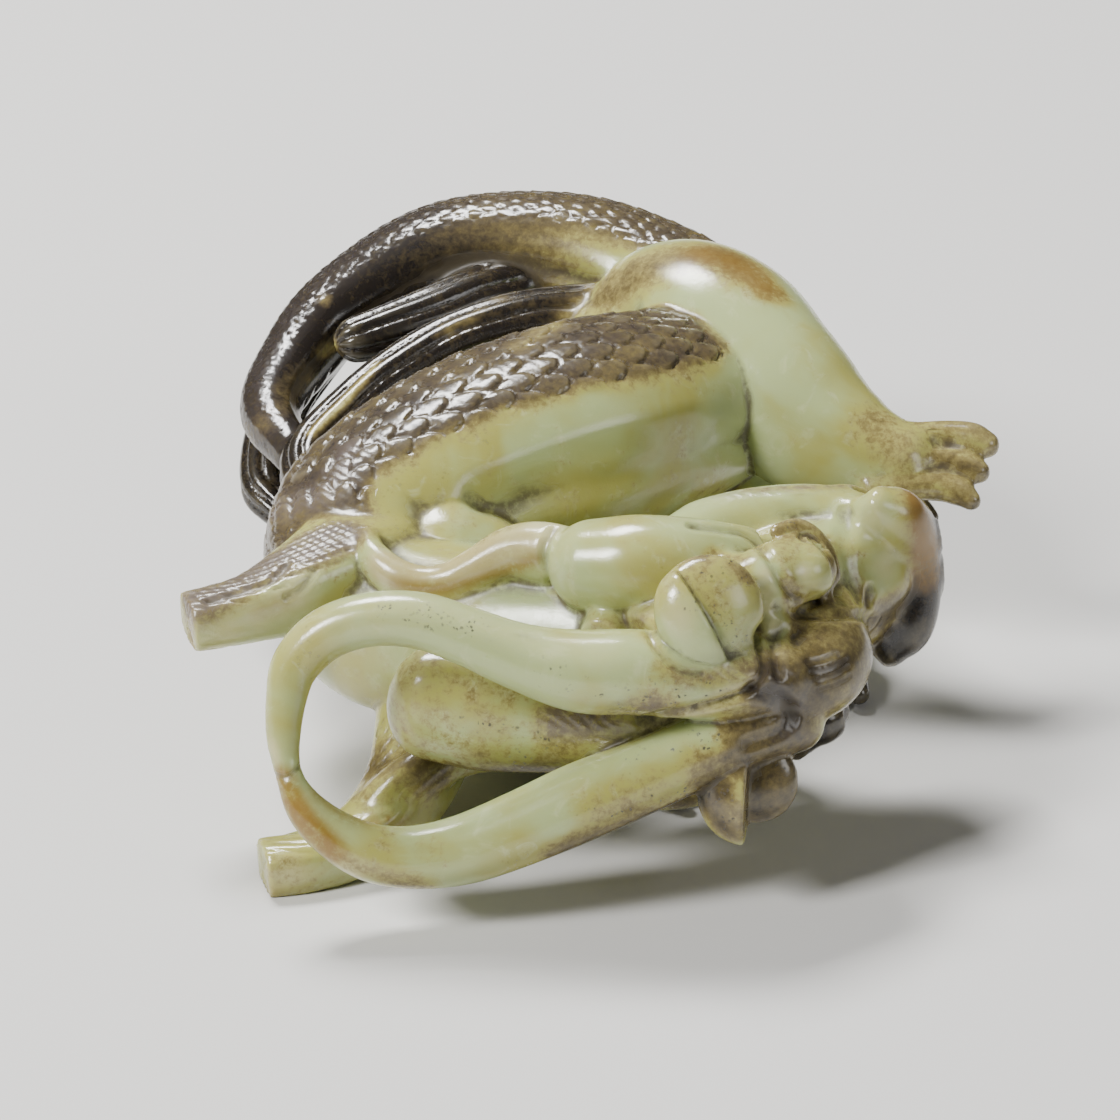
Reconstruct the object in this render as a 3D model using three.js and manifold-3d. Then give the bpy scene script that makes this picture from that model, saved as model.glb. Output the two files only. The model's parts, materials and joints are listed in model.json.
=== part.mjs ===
// A long-horned dragon carved in the round from one pebble of nephrite jade, lying on its side.
// It is one solid: every form below is swept, shaped and joined into the stone.
//
// Millimetres, +Z up. The stone lies on Z = 0 and the origin is under the middle of its box.
// The forms are placed in the carver's frame: X runs from the horn tips towards the snout,
// Y from the horns back to the tail, Z up through the dragon from its lower to its upper side.
import * as THREE from "three";
import { mergeVertices } from "three/addons/utils/BufferGeometryUtils.js";
import Module from "manifold-3d";

// Driving dimensions
const CARVING_MIDDLE = [2.98, 39.94]; // where the middle of the finished box lies in the carver's frame
const BODY_RADIUS = 8.8; // the trunk at its thickest
const HORN_RADIUS = 3.1; // a horn near its root
const EAR_RADIUS = 4.1; // an ear's round cup
const HEAD_HALF_WIDTH = 7.4; // the skull across the eyes
const FLAT_DEPTH = 0.5; // how far the resting forms are ground down to lie flat
const BODY_SIDES = 16; // facets around the trunk
const LIMB_SIDES = 10; // facets around a horn or a leg
const SMALL_SIDES = 7; // facets around a ribbon, a flame, the muzzle or a brow
const EAR_SIDES = 10; // facets around an ear
const TOE_SIDES = 5; // facets around a toe, a temple, a lip, a fang or the tongue

const wasm = await Module();
wasm.setup();

// A closed three.js geometry as a manifold solid.
function solidOf(geometry) {
  return new wasm.Manifold(
    new wasm.Mesh({
      numProp: 3,
      vertProperties: new Float32Array(geometry.getAttribute("position").array),
      triVerts: new Uint32Array(geometry.index.array),
    }),
  );
}

function lineThrough(points) {
  return new THREE.CatmullRomCurve3(
    points.map((p) => new THREE.Vector3(...p)),
    false,
    "catmullrom",
    0.5,
  );
}

// One form of the carving, swept along a smooth line. Each station is [x, y, z, radius].
// `up` is the direction of the section's height, or a list with one for each station.
// `tall` is the section's height over its width, `corners` is 2 for an oval section and more for
// one with corners, `domes` counts the rings that round off each end (0 leaves a square cut), and
// `section` scales the radius with the angle around the form.
function form(stations, options = {}) {
  const { sides = LIMB_SIDES, rings = 2 * stations.length, up = [0, 0, 1] } = options;
  const { tall = 1, corners = 2, domes = [0, 2], section = () => 1 } = options;
  const centre = lineThrough(stations.map((s) => s.slice(0, 3)));
  const size = lineThrough(stations.map((s) => [s[3], 0, 0]));
  const upright = lineThrough(Array.isArray(up[0]) ? up : stations.map(() => up));
  const vertices = [];

  // Rings as [place along the line, how far past it and how wide, both in radii].
  const quarter = (step, count) => (Math.PI / 2) * (step / (count + 1));
  const plan = [];
  for (let step = domes[0]; step > 0; step--) {
    plan.push([0, -Math.sin(quarter(step, domes[0])), Math.cos(quarter(step, domes[0]))]);
  }
  for (let ring = 0; ring <= rings; ring++) plan.push([ring / rings, 0, 1]);
  for (let step = 1; step <= domes[1]; step++) {
    plan.push([1, Math.sin(quarter(step, domes[1])), Math.cos(quarter(step, domes[1]))]);
  }
  for (const [place, past, wide] of plan) {
    const radius = size.getPoint(place).x;
    const along = centre.getTangent(place);
    const middle = centre.getPoint(place).addScaledVector(along, past * radius);
    const side = upright.getPoint(place).cross(along).normalize();
    const over = along.clone().cross(side);
    for (let k = 0; k < sides; k++) {
      const angle = (2 * Math.PI * k) / sides;
      const [c, s] = [Math.cos(angle), Math.sin(angle)];
      const corner = (Math.abs(c) ** corners + Math.abs(s) ** corners) ** (-1 / corners);
      const reach = radius * wide * corner * section(angle);
      const point = middle.clone().addScaledVector(side, reach * c);
      vertices.push(...point.addScaledVector(over, reach * s * tall));
    }
  }
  for (const [place, past] of [
    [0, domes[0] ? -1 : 0],
    [1, domes[1] ? 1 : 0],
  ]) {
    const tip = centre.getPoint(place);
    vertices.push(...tip.addScaledVector(centre.getTangent(place), past * size.getPoint(place).x));
  }

  const faces = [];
  const last = plan.length - 1;
  const startTip = plan.length * sides;
  for (let k = 0; k < sides; k++) {
    const next = (k + 1) % sides;
    for (let ring = 0; ring < last; ring++) {
      const [a, b] = [ring * sides + k, ring * sides + next];
      faces.push(a, b, b + sides, a, b + sides, a + sides);
    }
    faces.push(startTip, next, k, startTip + 1, last * sides + k, last * sides + next);
  }
  const geometry = new THREE.BufferGeometry();
  geometry.setAttribute("position", new THREE.Float32BufferAttribute(vertices, 3));
  geometry.setIndex(faces);
  return solidOf(geometry);
}

// A knob: a ball stretched along three axes. Where `kept` gives a direction, only the half of the
// ball that lies that way from its middle is kept.
function knob(middle, axes, reaches, sides, kept) {
  const ball = new THREE.SphereGeometry(1, sides, Math.round(sides / 2));
  ball.deleteAttribute("normal");
  ball.deleteAttribute("uv");
  const welded = mergeVertices(ball);
  const stretch = new THREE.Matrix4().makeBasis(
    ...axes.map((axis, k) => axis.clone().multiplyScalar(reaches[k])),
  );
  const solid = solidOf(welded.applyMatrix4(stretch.setPosition(middle)));
  return kept ? solid.trimByPlane([...kept], kept.dot(middle)) : solid;
}

// The head's own frame: forward along the nose, sideways to the upper cheek, out of the crown.
const POLL = new THREE.Vector3(14.1, 9.1, 16.5); // between the roots of the horns
const FORWARD = new THREE.Vector3(0.646, 0.751, 0.137).normalize();
const SIDEWAYS = new THREE.Vector3(-0.1, -0.095, 0.99);
SIDEWAYS.addScaledVector(FORWARD, -SIDEWAYS.dot(FORWARD)).normalize();
const CROWN = FORWARD.clone().cross(SIDEWAYS);
const HEAD_AXES = [FORWARD, SIDEWAYS, CROWN];

// Stations given as [forward, sideways, crown, radius] in the head's frame.
function inHead(stations) {
  return stations.map(([forward, sideways, crown, radius]) => {
    const point = POLL.clone()
      .addScaledVector(FORWARD, forward)
      .addScaledVector(SIDEWAYS, sideways)
      .addScaledVector(CROWN, crown);
    return [...point, radius];
  });
}

// Two horns sweep back from the poll, spread into a ring and meet tip to tip.
function horns() {
  const k = HORN_RADIUS / 3.1;
  const upper = [
    [16.4, 10.2, 18.2, 2.6 * k],
    [12.4, 8.6, 18.8, 2.95 * k],
    [6.0, 8.0, 19.8, 3.15 * k],
    [1.4, 8.0, 19.9, 3.05 * k],
    [-2.9, 8.5, 20.8, 2.5 * k],
    [-6.6, 9.1, 22.1, 2.2 * k],
    [-10.3, 9.9, 23.1, 2.1 * k],
    [-14.1, 10.3, 23.0, 2.0 * k],
    [-17.4, 10.2, 21.8, 1.95 * k],
    [-19.6, 9.6, 19.6, 1.8 * k],
    [-20.3, 8.4, 17.3, 1.5 * k],
    [-20.5, 7.2, 14.7, 1.25 * k],
    [-20.2, 6.2, 12.3, 0.95 * k],
  ];
  const lower = [
    [17.4, 10.6, 14.4, 2.4 * k],
    [14.0, 8.9, 14.6, 2.7 * k],
    [6.5, 7.3, 11.6, 2.75 * k],
    [1.9, 6.5, 9.9, 2.95 * k],
    [-2.9, 5.6, 8.0, 2.8 * k],
    [-7.1, 4.9, 6.6, 2.6 * k],
    [-10.8, 4.4, 6.2, 2.35 * k],
    [-14.0, 4.2, 6.7, 2.15 * k],
    [-16.7, 4.4, 8.1, 1.85 * k],
    [-18.7, 4.8, 9.9, 1.5 * k],
    [-19.8, 5.6, 11.6, 1.1 * k],
    [-20.2, 6.2, 12.9, 0.95 * k],
  ];
  const curved = { rings: 18, up: [0, 1, 0], domes: [1, 1] };
  return [form(upper, curved), form(lower, curved)];
}

// The head: skull, domed forehead, broad muzzle, jaw, tongue, beard, and on each side a jowl, a
// brow, a temple, an eye, the curled lip and a fang.
function head() {
  const k = HEAD_HALF_WIDTH / 7.4;
  const skull = inHead([
    [-2.0, 0, -7.6, 6.0 * k],
    [2.0, 0, -6.4, 7.2 * k],
    [6.0, 0, -5.8, 7.4 * k],
    [10.0, 0, -5.8, 6.8 * k],
    [14.0, 0, -5.6, 6.0 * k],
    [18.0, 0, -5.0, 5.6 * k],
    [21.0, 0, -4.8, 5.2 * k],
  ]);
  const forehead = inHead([
    [1.5, 0, -1.2, 3.0],
    [4.6, 0, 0.4, 3.8],
    [7.8, 0, 0.5, 3.9],
    [10.8, 0, -1.6, 3.3],
    [14.5, 0, -2.8, 2.6],
    [19.0, 0, -2.8, 2.6],
  ]);
  const muzzle = inHead([
    [19.4, 6.2, -2.6, 1.7],
    [20.8, 4.8, -2.0, 2.3],
    [22.2, 2.2, -2.6, 2.7],
    [22.5, 0, -2.9, 2.8],
    [22.2, -2.2, -2.6, 2.7],
    [20.8, -4.8, -2.0, 2.3],
    [19.4, -6.2, -2.6, 1.7],
  ]);
  const jaw = inHead([
    [-3.0, 0, -11.6, 5.2],
    [2.0, 0, -13.4, 5.8],
    [8.0, 0, -14.6, 5.0],
    [13.0, 0, -14.8, 4.2],
    [17.0, 0, -13.8, 3.4],
  ]);
  const tongue = inHead([
    [3.0, 0, -11.8, 2.6],
    [9.0, 0, -12.6, 2.4],
    [14.0, 0, -12.2, 1.7],
  ]);
  const beard = inHead([
    [14.5, 0, -15.6, 1.8],
    [11.0, 0, -18.0, 2.2],
    [6.0, 0, -18.8, 2.2],
    [1.0, 0, -18.0, 1.8],
    [-3.0, 0, -16.2, 1.2],
  ]);
  const crown = [...CROWN];
  const trim = { sides: SMALL_SIDES, up: crown, domes: [0, 1] };
  const parts = [
    form(skull, { up: crown, tall: 0.74, corners: 2.6, sides: 12, rings: 8 }),
    form(forehead, { ...trim, rings: 7, domes: [1, 1] }),
    form(muzzle, { ...trim, rings: 6, domes: [1, 1] }),
    form(jaw, { up: crown, tall: 0.42, corners: 2.5, rings: 5 }),
    form(tongue, { ...trim, sides: TOE_SIDES, tall: 0.5, rings: 2 }),
    form(beard, { ...trim, up: [...SIDEWAYS], tall: 0.8, rings: 5 }),
  ];
  for (const s of [1, -1]) {
    const jowl = inHead([
      [4.0, 5.2 * s, -12.6, 2.2],
      [9.0, 5.2 * s, -13.2, 2.5],
      [13.0, 5.0 * s, -12.0, 2.5],
      [16.6, 4.8 * s, -9.4, 2.4],
      [19.4, 4.6 * s, -6.0, 2.2],
    ]);
    const brow = inHead([
      [-2.0, 5.4 * s, -5.4, 1.7],
      [2.0, 6.7 * s, -4.2, 2.1],
      [5.6, 6.8 * s, -2.9, 2.5],
      [8.4, 6.4 * s, -2.4, 2.6],
      [11.0, 5.8 * s, -3.2, 2.2],
      [13.4, 4.8 * s, -4.4, 1.6],
    ]);
    const temple = inHead([
      [4.8, 7.4 * s, -5.6, 1.4],
      [5.4, 7.0 * s, -3.0, 1.8],
      [4.8, 5.0 * s, -1.3, 1.8],
      [3.8, 3.2 * s, -0.8, 1.6],
    ]);
    const [eye] = inHead([[9.0, 6.4 * s, -1.4, 0]]);
    const lip = inHead([
      [15.0, 6.2 * s, -9.6, 1.0],
      [18.0, 5.8 * s, -8.0, 1.2],
      [21.0, 4.4 * s, -6.6, 1.4],
      [23.4, 2.0 * s, -6.0, 1.4],
    ]);
    const fang = inHead([
      [18.4, 3.9 * s, -8.4, 1.3],
      [18.6, 3.7 * s, -10.8, 1.0],
      [18.0, 3.5 * s, -12.8, 0.4],
    ]);
    parts.push(
      form(jowl, { ...trim, rings: 4, domes: [1, 1] }),
      form(brow, { ...trim, rings: 5 }),
      form(temple, { ...trim, sides: TOE_SIDES, rings: 3, domes: [1, 1] }),
      knob(new THREE.Vector3(...eye.slice(0, 3)), HEAD_AXES, [2.5, 2.3, 2.4], 8),
      form(lip, { ...trim, sides: TOE_SIDES, rings: 4 }),
      form(fang, { sides: TOE_SIDES, rings: 2, up: [...FORWARD], domes: [0, 1] }),
    );
  }
  return parts;
}

// Ears behind the horns. Each is a round button with a leaf lying over its outer half, cut off
// straight down the button. `leaf` reaches out to its rim, down its straight edge and out of the
// button, and `shift` moves it that way from the button's middle.
function ear(stance, radius, leaf, shift) {
  const middle = new THREE.Vector3(...stance.place);
  const facing = new THREE.Vector3(...stance.facing).normalize();
  const down = new THREE.Vector3(...stance.crease);
  down.addScaledVector(facing, -down.dot(facing)).normalize();
  const rim = down.clone().cross(facing);
  const axes = [rim, down, facing];
  const edge = middle.clone();
  axes.forEach((axis, k) => edge.addScaledVector(axis, shift[k]));
  return [
    knob(middle, axes, [radius, radius, 0.46 * radius], EAR_SIDES),
    knob(edge, axes, leaf, EAR_SIDES, rim),
  ];
}

function ears() {
  const k = EAR_RADIUS / 4.1;
  const size = (reaches) => reaches.map((reach) => reach * k);
  const upper = {
    place: [11.0, 9.5, 24.2],
    facing: [0.15, -0.88, 0.42],
    crease: [0.507, -0.378, -0.775],
  };
  const lower = {
    place: [14.6, 8.3, 10.6],
    facing: [-0.15, -0.93, 0.3],
    crease: [-0.09, -0.43, -0.89],
  };
  return [
    ...ear(upper, 4.1 * k, size([3.3, 4.0, 2.2]), size([0.9, 0, 0.7])),
    ...ear(lower, 3.2 * k, size([3.8, 3.9, 2.3]), size([0.4, 0.9, 1.1])),
  ];
}

// Smooth locks of the mane: one between the horns, and one lying back from each cheek.
function mane() {
  const nape = [
    [14.0, 10.6, 16.4, 1.8],
    [7.5, 11.0, 14.2, 2.2],
    [3.0, 11.8, 13.5, 2.7],
    [-1.5, 12.8, 13.5, 3.1],
    [-6.0, 13.4, 13.8, 3.4],
    [-9.8, 13.9, 14.2, 3.2],
  ];
  const upperCheek = [
    [14.5, 19.6, 23.2, 2.6],
    [10.0, 18.0, 24.0, 3.3],
    [6.0, 17.8, 23.8, 3.8],
    [2.6, 18.6, 23.4, 3.5],
  ];
  const lowerCheek = [
    [16.5, 19.0, 8.6, 2.6],
    [11.0, 17.6, 7.4, 3.3],
    [6.6, 17.4, 7.4, 3.7],
    [3.2, 18.2, 8.2, 3.4],
  ];
  const lock = { rings: 5 };
  return [form(nape, { tall: 1.4, rings: 8 }), form(upperCheek, lock), form(lowerCheek, lock)];
}

// The trunk, from the neck round the bend at the shoulders and over the arched back into the tail.
function trunk() {
  const k = BODY_RADIUS / 8.8;
  const spine = [
    [11.0, 16.8, 16.8, 5.0 * k],
    [1.5, 21.6, 16.0, 5.8 * k],
    [-6.0, 24.6, 14.8, 6.5 * k],
    [-13.2, 28.4, 14.4, 7.3 * k],
    [-14.6, 35.4, 17.0, 8.2 * k],
    [-7.0, 41.6, 20.0, 8.7 * k],
    [1.6, 46.4, 21.2, 8.8 * k],
    [8.4, 51.6, 21.0, 8.0 * k],
    [12.2, 57.6, 20.8, 7.2 * k],
    [12.6, 64.0, 21.6, 6.4 * k],
    [8.0, 69.4, 23.6, 5.7 * k],
    [0.4, 72.6, 25.6, 5.0 * k],
    [-9.6, 73.0, 25.4, 4.3 * k],
    [-18.0, 69.6, 22.0, 3.5 * k],
    [-22.0, 64.4, 19.2, 2.9 * k],
    [-23.6, 58.2, 17.8, 2.4 * k],
    [-21.4, 52.6, 16.8, 1.8 * k],
  ];
  const back = [
    [-0.5, -0.85, 0.1],
    [-0.5, -0.85, 0.2],
    [-0.5, -0.75, 0.4],
    [-0.8, -0.35, 0.5],
    [-0.8, 0.1, 0.6],
    [-0.5, 0.3, 0.85],
    [-0.3, 0.3, 0.9],
    [-0.2, 0.3, 0.9],
    [0.2, 0.3, 0.95],
    [0.3, 0.4, 0.87],
    [0.1, 0.5, 0.86],
    [0.0, 0.5, 0.86],
    [-0.3, 0.5, 0.8],
    [-0.6, 0.3, 0.7],
    [-0.8, 0.1, 0.6],
    [-0.8, -0.1, 0.5],
    [-0.8, -0.3, 0.5],
  ];
  // A low keel runs along the back, and a crease above the belly along each flank.
  const near = (angle, place) => {
    const off = Math.atan2(Math.sin(angle - place), Math.cos(angle - place)) / 0.22;
    return Math.exp(-off * off);
  };
  const crease = THREE.MathUtils.degToRad(22.5);
  const section = (angle) =>
    1 +
    0.06 * near(angle, Math.PI / 2) -
    0.06 * near(angle, -crease) -
    0.06 * near(angle, Math.PI + crease);
  return [form(spine, { up: back, sides: BODY_SIDES, rings: 34, section, domes: [0, 1] })];
}

// Three toes with hooked claws at the end of a leg: out along `reach`, fanned along `spread`.
function paw(wrist, reach, spread, hook, size) {
  const at = (out, across, under, radius) => {
    const point = new THREE.Vector3(...wrist)
      .addScaledVector(new THREE.Vector3(...reach), out * size)
      .addScaledVector(new THREE.Vector3(...spread), across * size)
      .addScaledVector(new THREE.Vector3(...hook), under * size);
    return [...point, radius * size];
  };
  return [-1, 0, 1].map((side) => {
    const toe = [
      at(-0.5, 0.5 * side, 0, 1.1),
      at(2.2, 1.6 * side, -0.3, 1.25),
      at(4.4, 1.9 * side, 0.9, 0.7),
    ];
    return form(toe, { sides: TOE_SIDES, rings: 3, up: spread, domes: [0, 1] });
  });
}

// Four legs: haunches and shoulders swell out of the trunk and end in paws. The upper hind paw has
// long toes stretched out, and a thumb.
function legs() {
  const upperHind = [
    [5.6, 60.4, 21.6, 5.8],
    [9.4, 61.2, 23.8, 7.4],
    [13.2, 58.2, 23.6, 7.6],
    [16.8, 54.0, 22.2, 6.6],
    [20.4, 50.8, 20.0, 5.7],
    [23.8, 48.6, 18.9, 4.5],
    [27.0, 47.0, 18.6, 3.3],
  ];
  const upperHindToes = [
    [
      [25.0, 48.6, 19.9, 1.9],
      [28.0, 47.8, 20.4, 1.35],
      [31.0, 47.9, 20.6, 1.2],
      [32.8, 47.5, 20.5, 1.3],
      [33.9, 47.0, 20.2, 1.1],
    ],
    [
      [25.0, 46.6, 18.8, 1.9],
      [28.0, 46.0, 19.1, 1.3],
      [30.8, 46.0, 19.1, 1.15],
      [32.3, 45.7, 18.9, 1.2],
      [33.2, 45.2, 18.7, 1.0],
    ],
    [
      [25.0, 44.9, 17.4, 1.7],
      [27.6, 44.3, 17.9, 1.25],
      [30.2, 44.3, 17.8, 1.15],
      [31.8, 43.8, 17.5, 1.1],
      [32.6, 43.2, 17.1, 0.8],
    ],
    [
      [23.6, 47.4, 16.6, 1.6],
      [26.2, 46.8, 15.6, 1.3],
      [28.4, 46.6, 15.0, 1.1],
      [29.6, 46.2, 14.2, 0.7],
    ],
  ];
  const lowerHind = [
    [6.0, 57.0, 14.5, 6.0],
    [10.0, 58.4, 11.0, 7.2],
    [13.8, 56.6, 8.2, 7.0],
    [16.8, 53.4, 6.0, 5.8],
    [18.8, 50.2, 4.4, 4.4],
    [19.8, 47.2, 3.2, 3.3],
    [20.2, 44.8, 2.8, 2.7],
  ];
  const upperFore = [
    [-9.0, 31.6, 17.0, 5.4],
    [-1.5, 31.2, 14.4, 4.2],
    [5.0, 33.4, 12.6, 3.2],
    [9.5, 33.2, 11.2, 2.6],
    [12.4, 31.6, 10.4, 2.3],
  ];
  const lowerFore = [
    [-8.0, 27.6, 9.5, 4.8],
    [-3.4, 28.6, 6.4, 4.3],
    [1.0, 29.6, 4.4, 3.3],
    [4.6, 29.2, 3.2, 2.7],
    [7.2, 27.8, 2.6, 2.3],
  ];
  const limb = { rings: 9, domes: [1, 1] };
  return [
    form(upperHind, { ...limb, rings: 11 }),
    form(lowerHind, { ...limb, rings: 11 }),
    form(upperFore, { ...limb, sides: 8 }),
    form(lowerFore, { ...limb, sides: 8 }),
    ...upperHindToes.map((toe) => form(toe, { sides: TOE_SIDES, rings: 4, domes: [0, 1] })),
    ...paw([20.2, 44.8, 2.4], [0.2, -0.96, -0.04], [0.96, 0.2, 0.1], [0.1, -0.3, -0.5], 1.3),
    ...paw([12.4, 31.6, 10.4], [0.85, -0.4, -0.3], [0.2, 0.2, 0.95], [0.5, -0.2, -0.6], 1.15),
    ...paw([7.2, 27.8, 2.4], [0.7, -0.7, -0.05], [0.7, 0.7, 0.1], [0.3, -0.3, -0.5], 1.15),
  ];
}

// Tufts combed to a square-cut end at the shoulders, and the ribbons that tie them to the cheeks.
function tufts() {
  const upper = [
    [-12.0, 34.0, 17.2, 5.0],
    [-15.8, 28.8, 18.4, 4.5],
    [-19.6, 24.6, 18.6, 3.4],
    [-23.6, 21.8, 18.2, 2.5],
    [-28.2, 20.2, 17.8, 2.2],
  ];
  const lower = [
    [-9.5, 25.5, 9.5, 4.4],
    [-11.4, 18.0, 5.4, 3.3],
    [-14.8, 13.6, 3.0, 2.6],
    [-18.8, 11.2, 2.2, 2.3],
    [-22.4, 10.2, 2.0, 2.2],
  ];
  const upperRibbon = [
    [-14.9, 27.0, 22.0, 0.8],
    [-14.3, 24.6, 21.2, 1.2],
    [-12.6, 22.9, 20.4, 1.3],
    [-10.6, 22.2, 20.0, 1.3],
    [-8.4, 21.9, 20.4, 1.3],
    [-6.2, 21.9, 21.5, 1.5],
    [-3.6, 22.0, 22.7, 1.9],
    [-0.8, 21.0, 23.2, 2.1],
    [3.0, 19.0, 23.4, 1.7],
  ];
  const lowerRibbon = [
    [-14.0, 14.6, 4.4, 1.8],
    [-11.4, 15.4, 6.6, 1.9],
    [-7.8, 17.4, 8.2, 1.8],
    [-3.2, 18.6, 8.0, 1.6],
    [4.0, 18.2, 8.0, 1.7],
  ];
  const cut = { corners: 3, rings: 7, tall: 0.95, domes: [0, 0] };
  const tied = { sides: SMALL_SIDES, tall: 1.15, domes: [0, 0] };
  return [
    form(upper, cut),
    form(lower, cut),
    form(upperRibbon, { ...tied, rings: 12 }),
    form(lowerRibbon, { ...tied, rings: 7 }),
  ];
}

// Flames of the tail, pierced between: two inside its curl, one down to the ground, one licking out.
function tailFlames() {
  const knobbed = [
    [-2.0, 71.0, 23.6, 2.8],
    [-7.4, 67.0, 23.8, 2.7],
    [-12.4, 63.8, 23.2, 2.4],
    [-16.6, 61.8, 22.8, 1.9],
  ];
  const clinging = [
    [4.0, 64.0, 23.4, 3.4],
    [-4.0, 61.6, 24.2, 2.6],
    [-10.8, 58.4, 22.8, 2.4],
    [-16.6, 54.2, 20.2, 2.2],
    [-20.4, 49.2, 17.8, 2.0],
    [-19.6, 42.6, 16.4, 1.8],
  ];
  const hanging = [
    [-9.0, 72.0, 21.0, 3.0],
    [-12.6, 70.0, 14.4, 3.0],
    [-16.2, 66.0, 8.6, 2.8],
    [-19.4, 61.0, 4.6, 2.5],
    [-20.8, 55.0, 2.6, 2.3],
    [-19.0, 50.2, 2.0, 2.0],
  ];
  const licking = [
    [-19.0, 68.4, 20.0, 2.2],
    [-23.2, 66.0, 14.4, 2.2],
    [-24.4, 61.0, 10.2, 2.0],
    [-22.4, 57.8, 8.6, 1.5],
  ];
  const flame = { sides: SMALL_SIDES, domes: [0, 1] };
  return [
    form(knobbed, { ...flame, rings: 5, domes: [0, 2] }),
    form(clinging, { ...flame, rings: 9 }),
    form(hanging, { ...flame, rings: 9 }),
    form(licking, { ...flame, rings: 6 }),
  ];
}

// What is ground away below the level that the carving rests on.
function groundAway() {
  const [reach, deep] = [200, 20];
  const block = [[-1, -1], [1, -1], [1, 1], [-1, 1]].flatMap(([x, y]) => [
    [x * reach, y * reach, FLAT_DEPTH - deep],
    [x * reach, y * reach, FLAT_DEPTH],
  ]);
  const geometry = new THREE.BufferGeometry();
  geometry.setAttribute("position", new THREE.Float32BufferAttribute(block.flat(), 3));
  const faces = [0, 4, 2, 0, 6, 4, 1, 3, 5, 1, 5, 7];
  for (let a = 0; a < 8; a += 2) faces.push(a, (a + 2) % 8, (a + 3) % 8, a, (a + 3) % 8, a + 1);
  geometry.setIndex(faces);
  return solidOf(geometry);
}

const forms = [trunk, horns, head, ears, mane, legs, tufts, tailFlames].flatMap((carve) => carve());
const stone = forms.reduce((joined, next) => joined.add(next)).subtract(groundAway());
const { vertProperties, triVerts } = stone.getMesh();
const surface = new THREE.BufferGeometry();
surface.setAttribute("position", new THREE.BufferAttribute(new Float32Array(vertProperties), 3));
surface.setIndex(new THREE.BufferAttribute(new Uint32Array(triVerts), 1));
surface.translate(-CARVING_MIDDLE[0], -CARVING_MIDDLE[1], -FLAT_DEPTH);
surface.computeVertexNormals();

const jade = new THREE.MeshStandardMaterial({ color: 0xa9ac7e, roughness: 0.25, metalness: 0 });
const dragon = new THREE.Mesh(surface, jade);
dragon.name = "dragon";

const carving = new THREE.Group();
carving.add(dragon);
export default carving;
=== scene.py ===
import json
import math

import bpy
import numpy as np
from mathutils import Matrix, Vector
from mathutils.bvhtree import BVHTree

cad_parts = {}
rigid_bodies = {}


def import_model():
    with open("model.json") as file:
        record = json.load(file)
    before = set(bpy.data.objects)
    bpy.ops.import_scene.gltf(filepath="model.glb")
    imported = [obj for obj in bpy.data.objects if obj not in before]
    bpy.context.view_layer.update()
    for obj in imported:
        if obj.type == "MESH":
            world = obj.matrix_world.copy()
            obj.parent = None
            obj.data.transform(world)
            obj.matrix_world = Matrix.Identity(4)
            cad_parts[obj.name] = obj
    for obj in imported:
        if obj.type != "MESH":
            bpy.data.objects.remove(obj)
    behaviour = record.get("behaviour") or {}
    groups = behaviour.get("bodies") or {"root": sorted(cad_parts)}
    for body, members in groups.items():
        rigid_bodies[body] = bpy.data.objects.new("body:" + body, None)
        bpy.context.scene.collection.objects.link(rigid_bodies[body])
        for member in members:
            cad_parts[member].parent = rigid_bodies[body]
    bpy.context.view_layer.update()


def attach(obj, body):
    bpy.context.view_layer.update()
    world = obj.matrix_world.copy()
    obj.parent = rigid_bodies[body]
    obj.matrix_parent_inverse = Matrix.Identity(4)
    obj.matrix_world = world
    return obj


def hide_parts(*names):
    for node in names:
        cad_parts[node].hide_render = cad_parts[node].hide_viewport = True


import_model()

# The camera is held close, 45 cm from the carving, and looks down on the horns at 26 degrees.
# Its view is square and 10.5 degrees wide.
FRAME_PIXELS = 1120
PIXELS_PER_SLOPE = 6072
LOOK_DOWN = math.radians(26)
CAMERA_AWAY = 0.45
LOOKED_AT = Vector((-0.00298, -0.02697, 0.0261))

camera_data = bpy.data.cameras.new("close_up_camera")
camera_data.sensor_fit = "HORIZONTAL"
camera_data.sensor_width = 36
camera_data.lens = 36 * PIXELS_PER_SLOPE / FRAME_PIXELS
camera_data.clip_start = 0.01
camera = bpy.data.objects.new("close_up_camera", camera_data)
toward_scene = Vector((0, math.cos(LOOK_DOWN), -math.sin(LOOK_DOWN)))
camera.location = LOOKED_AT - CAMERA_AWAY * toward_scene
camera.rotation_euler = (math.pi / 2 - LOOK_DOWN, 0, 0)
bpy.context.scene.collection.objects.link(camera)
bpy.context.scene.camera = camera


# The carving is one pebble of nephrite jade, cut in the round. It is roughed out form by form in
# the carver's frame, in millimetres, with X towards the snout, Y towards the tail and Z up.
# A form is swept along a smooth line through stations of [x, y, z, radius].
CARVING_MIDDLE = np.array([2.98, 39.94, 0.5])
forms = {}


def smooth_line(points, places):
    """Positions and slopes on the smooth line through points, at places from 0 to 1."""
    points = np.asarray(points, float)
    first, last = 2 * points[0] - points[1], 2 * points[-1] - points[-2]
    knots = np.vstack([first, points, last])
    along = np.asarray(places) * (len(points) - 1)
    span = np.clip(along.astype(int), 0, len(points) - 2)
    t = (along - span)[:, None]
    before, start, end, after = (knots[span + step] for step in range(4))
    leave, arrive = (end - before) / 2, (after - start) / 2
    square = 3 * (end - start) - 2 * leave - arrive
    cube = 2 * (start - end) + leave + arrive
    place = start + leave * t + square * t**2 + cube * t**3
    return place, leave + 2 * square * t + 3 * cube * t**2


def unit(vectors):
    return vectors / np.linalg.norm(vectors, axis=-1, keepdims=True)


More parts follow.
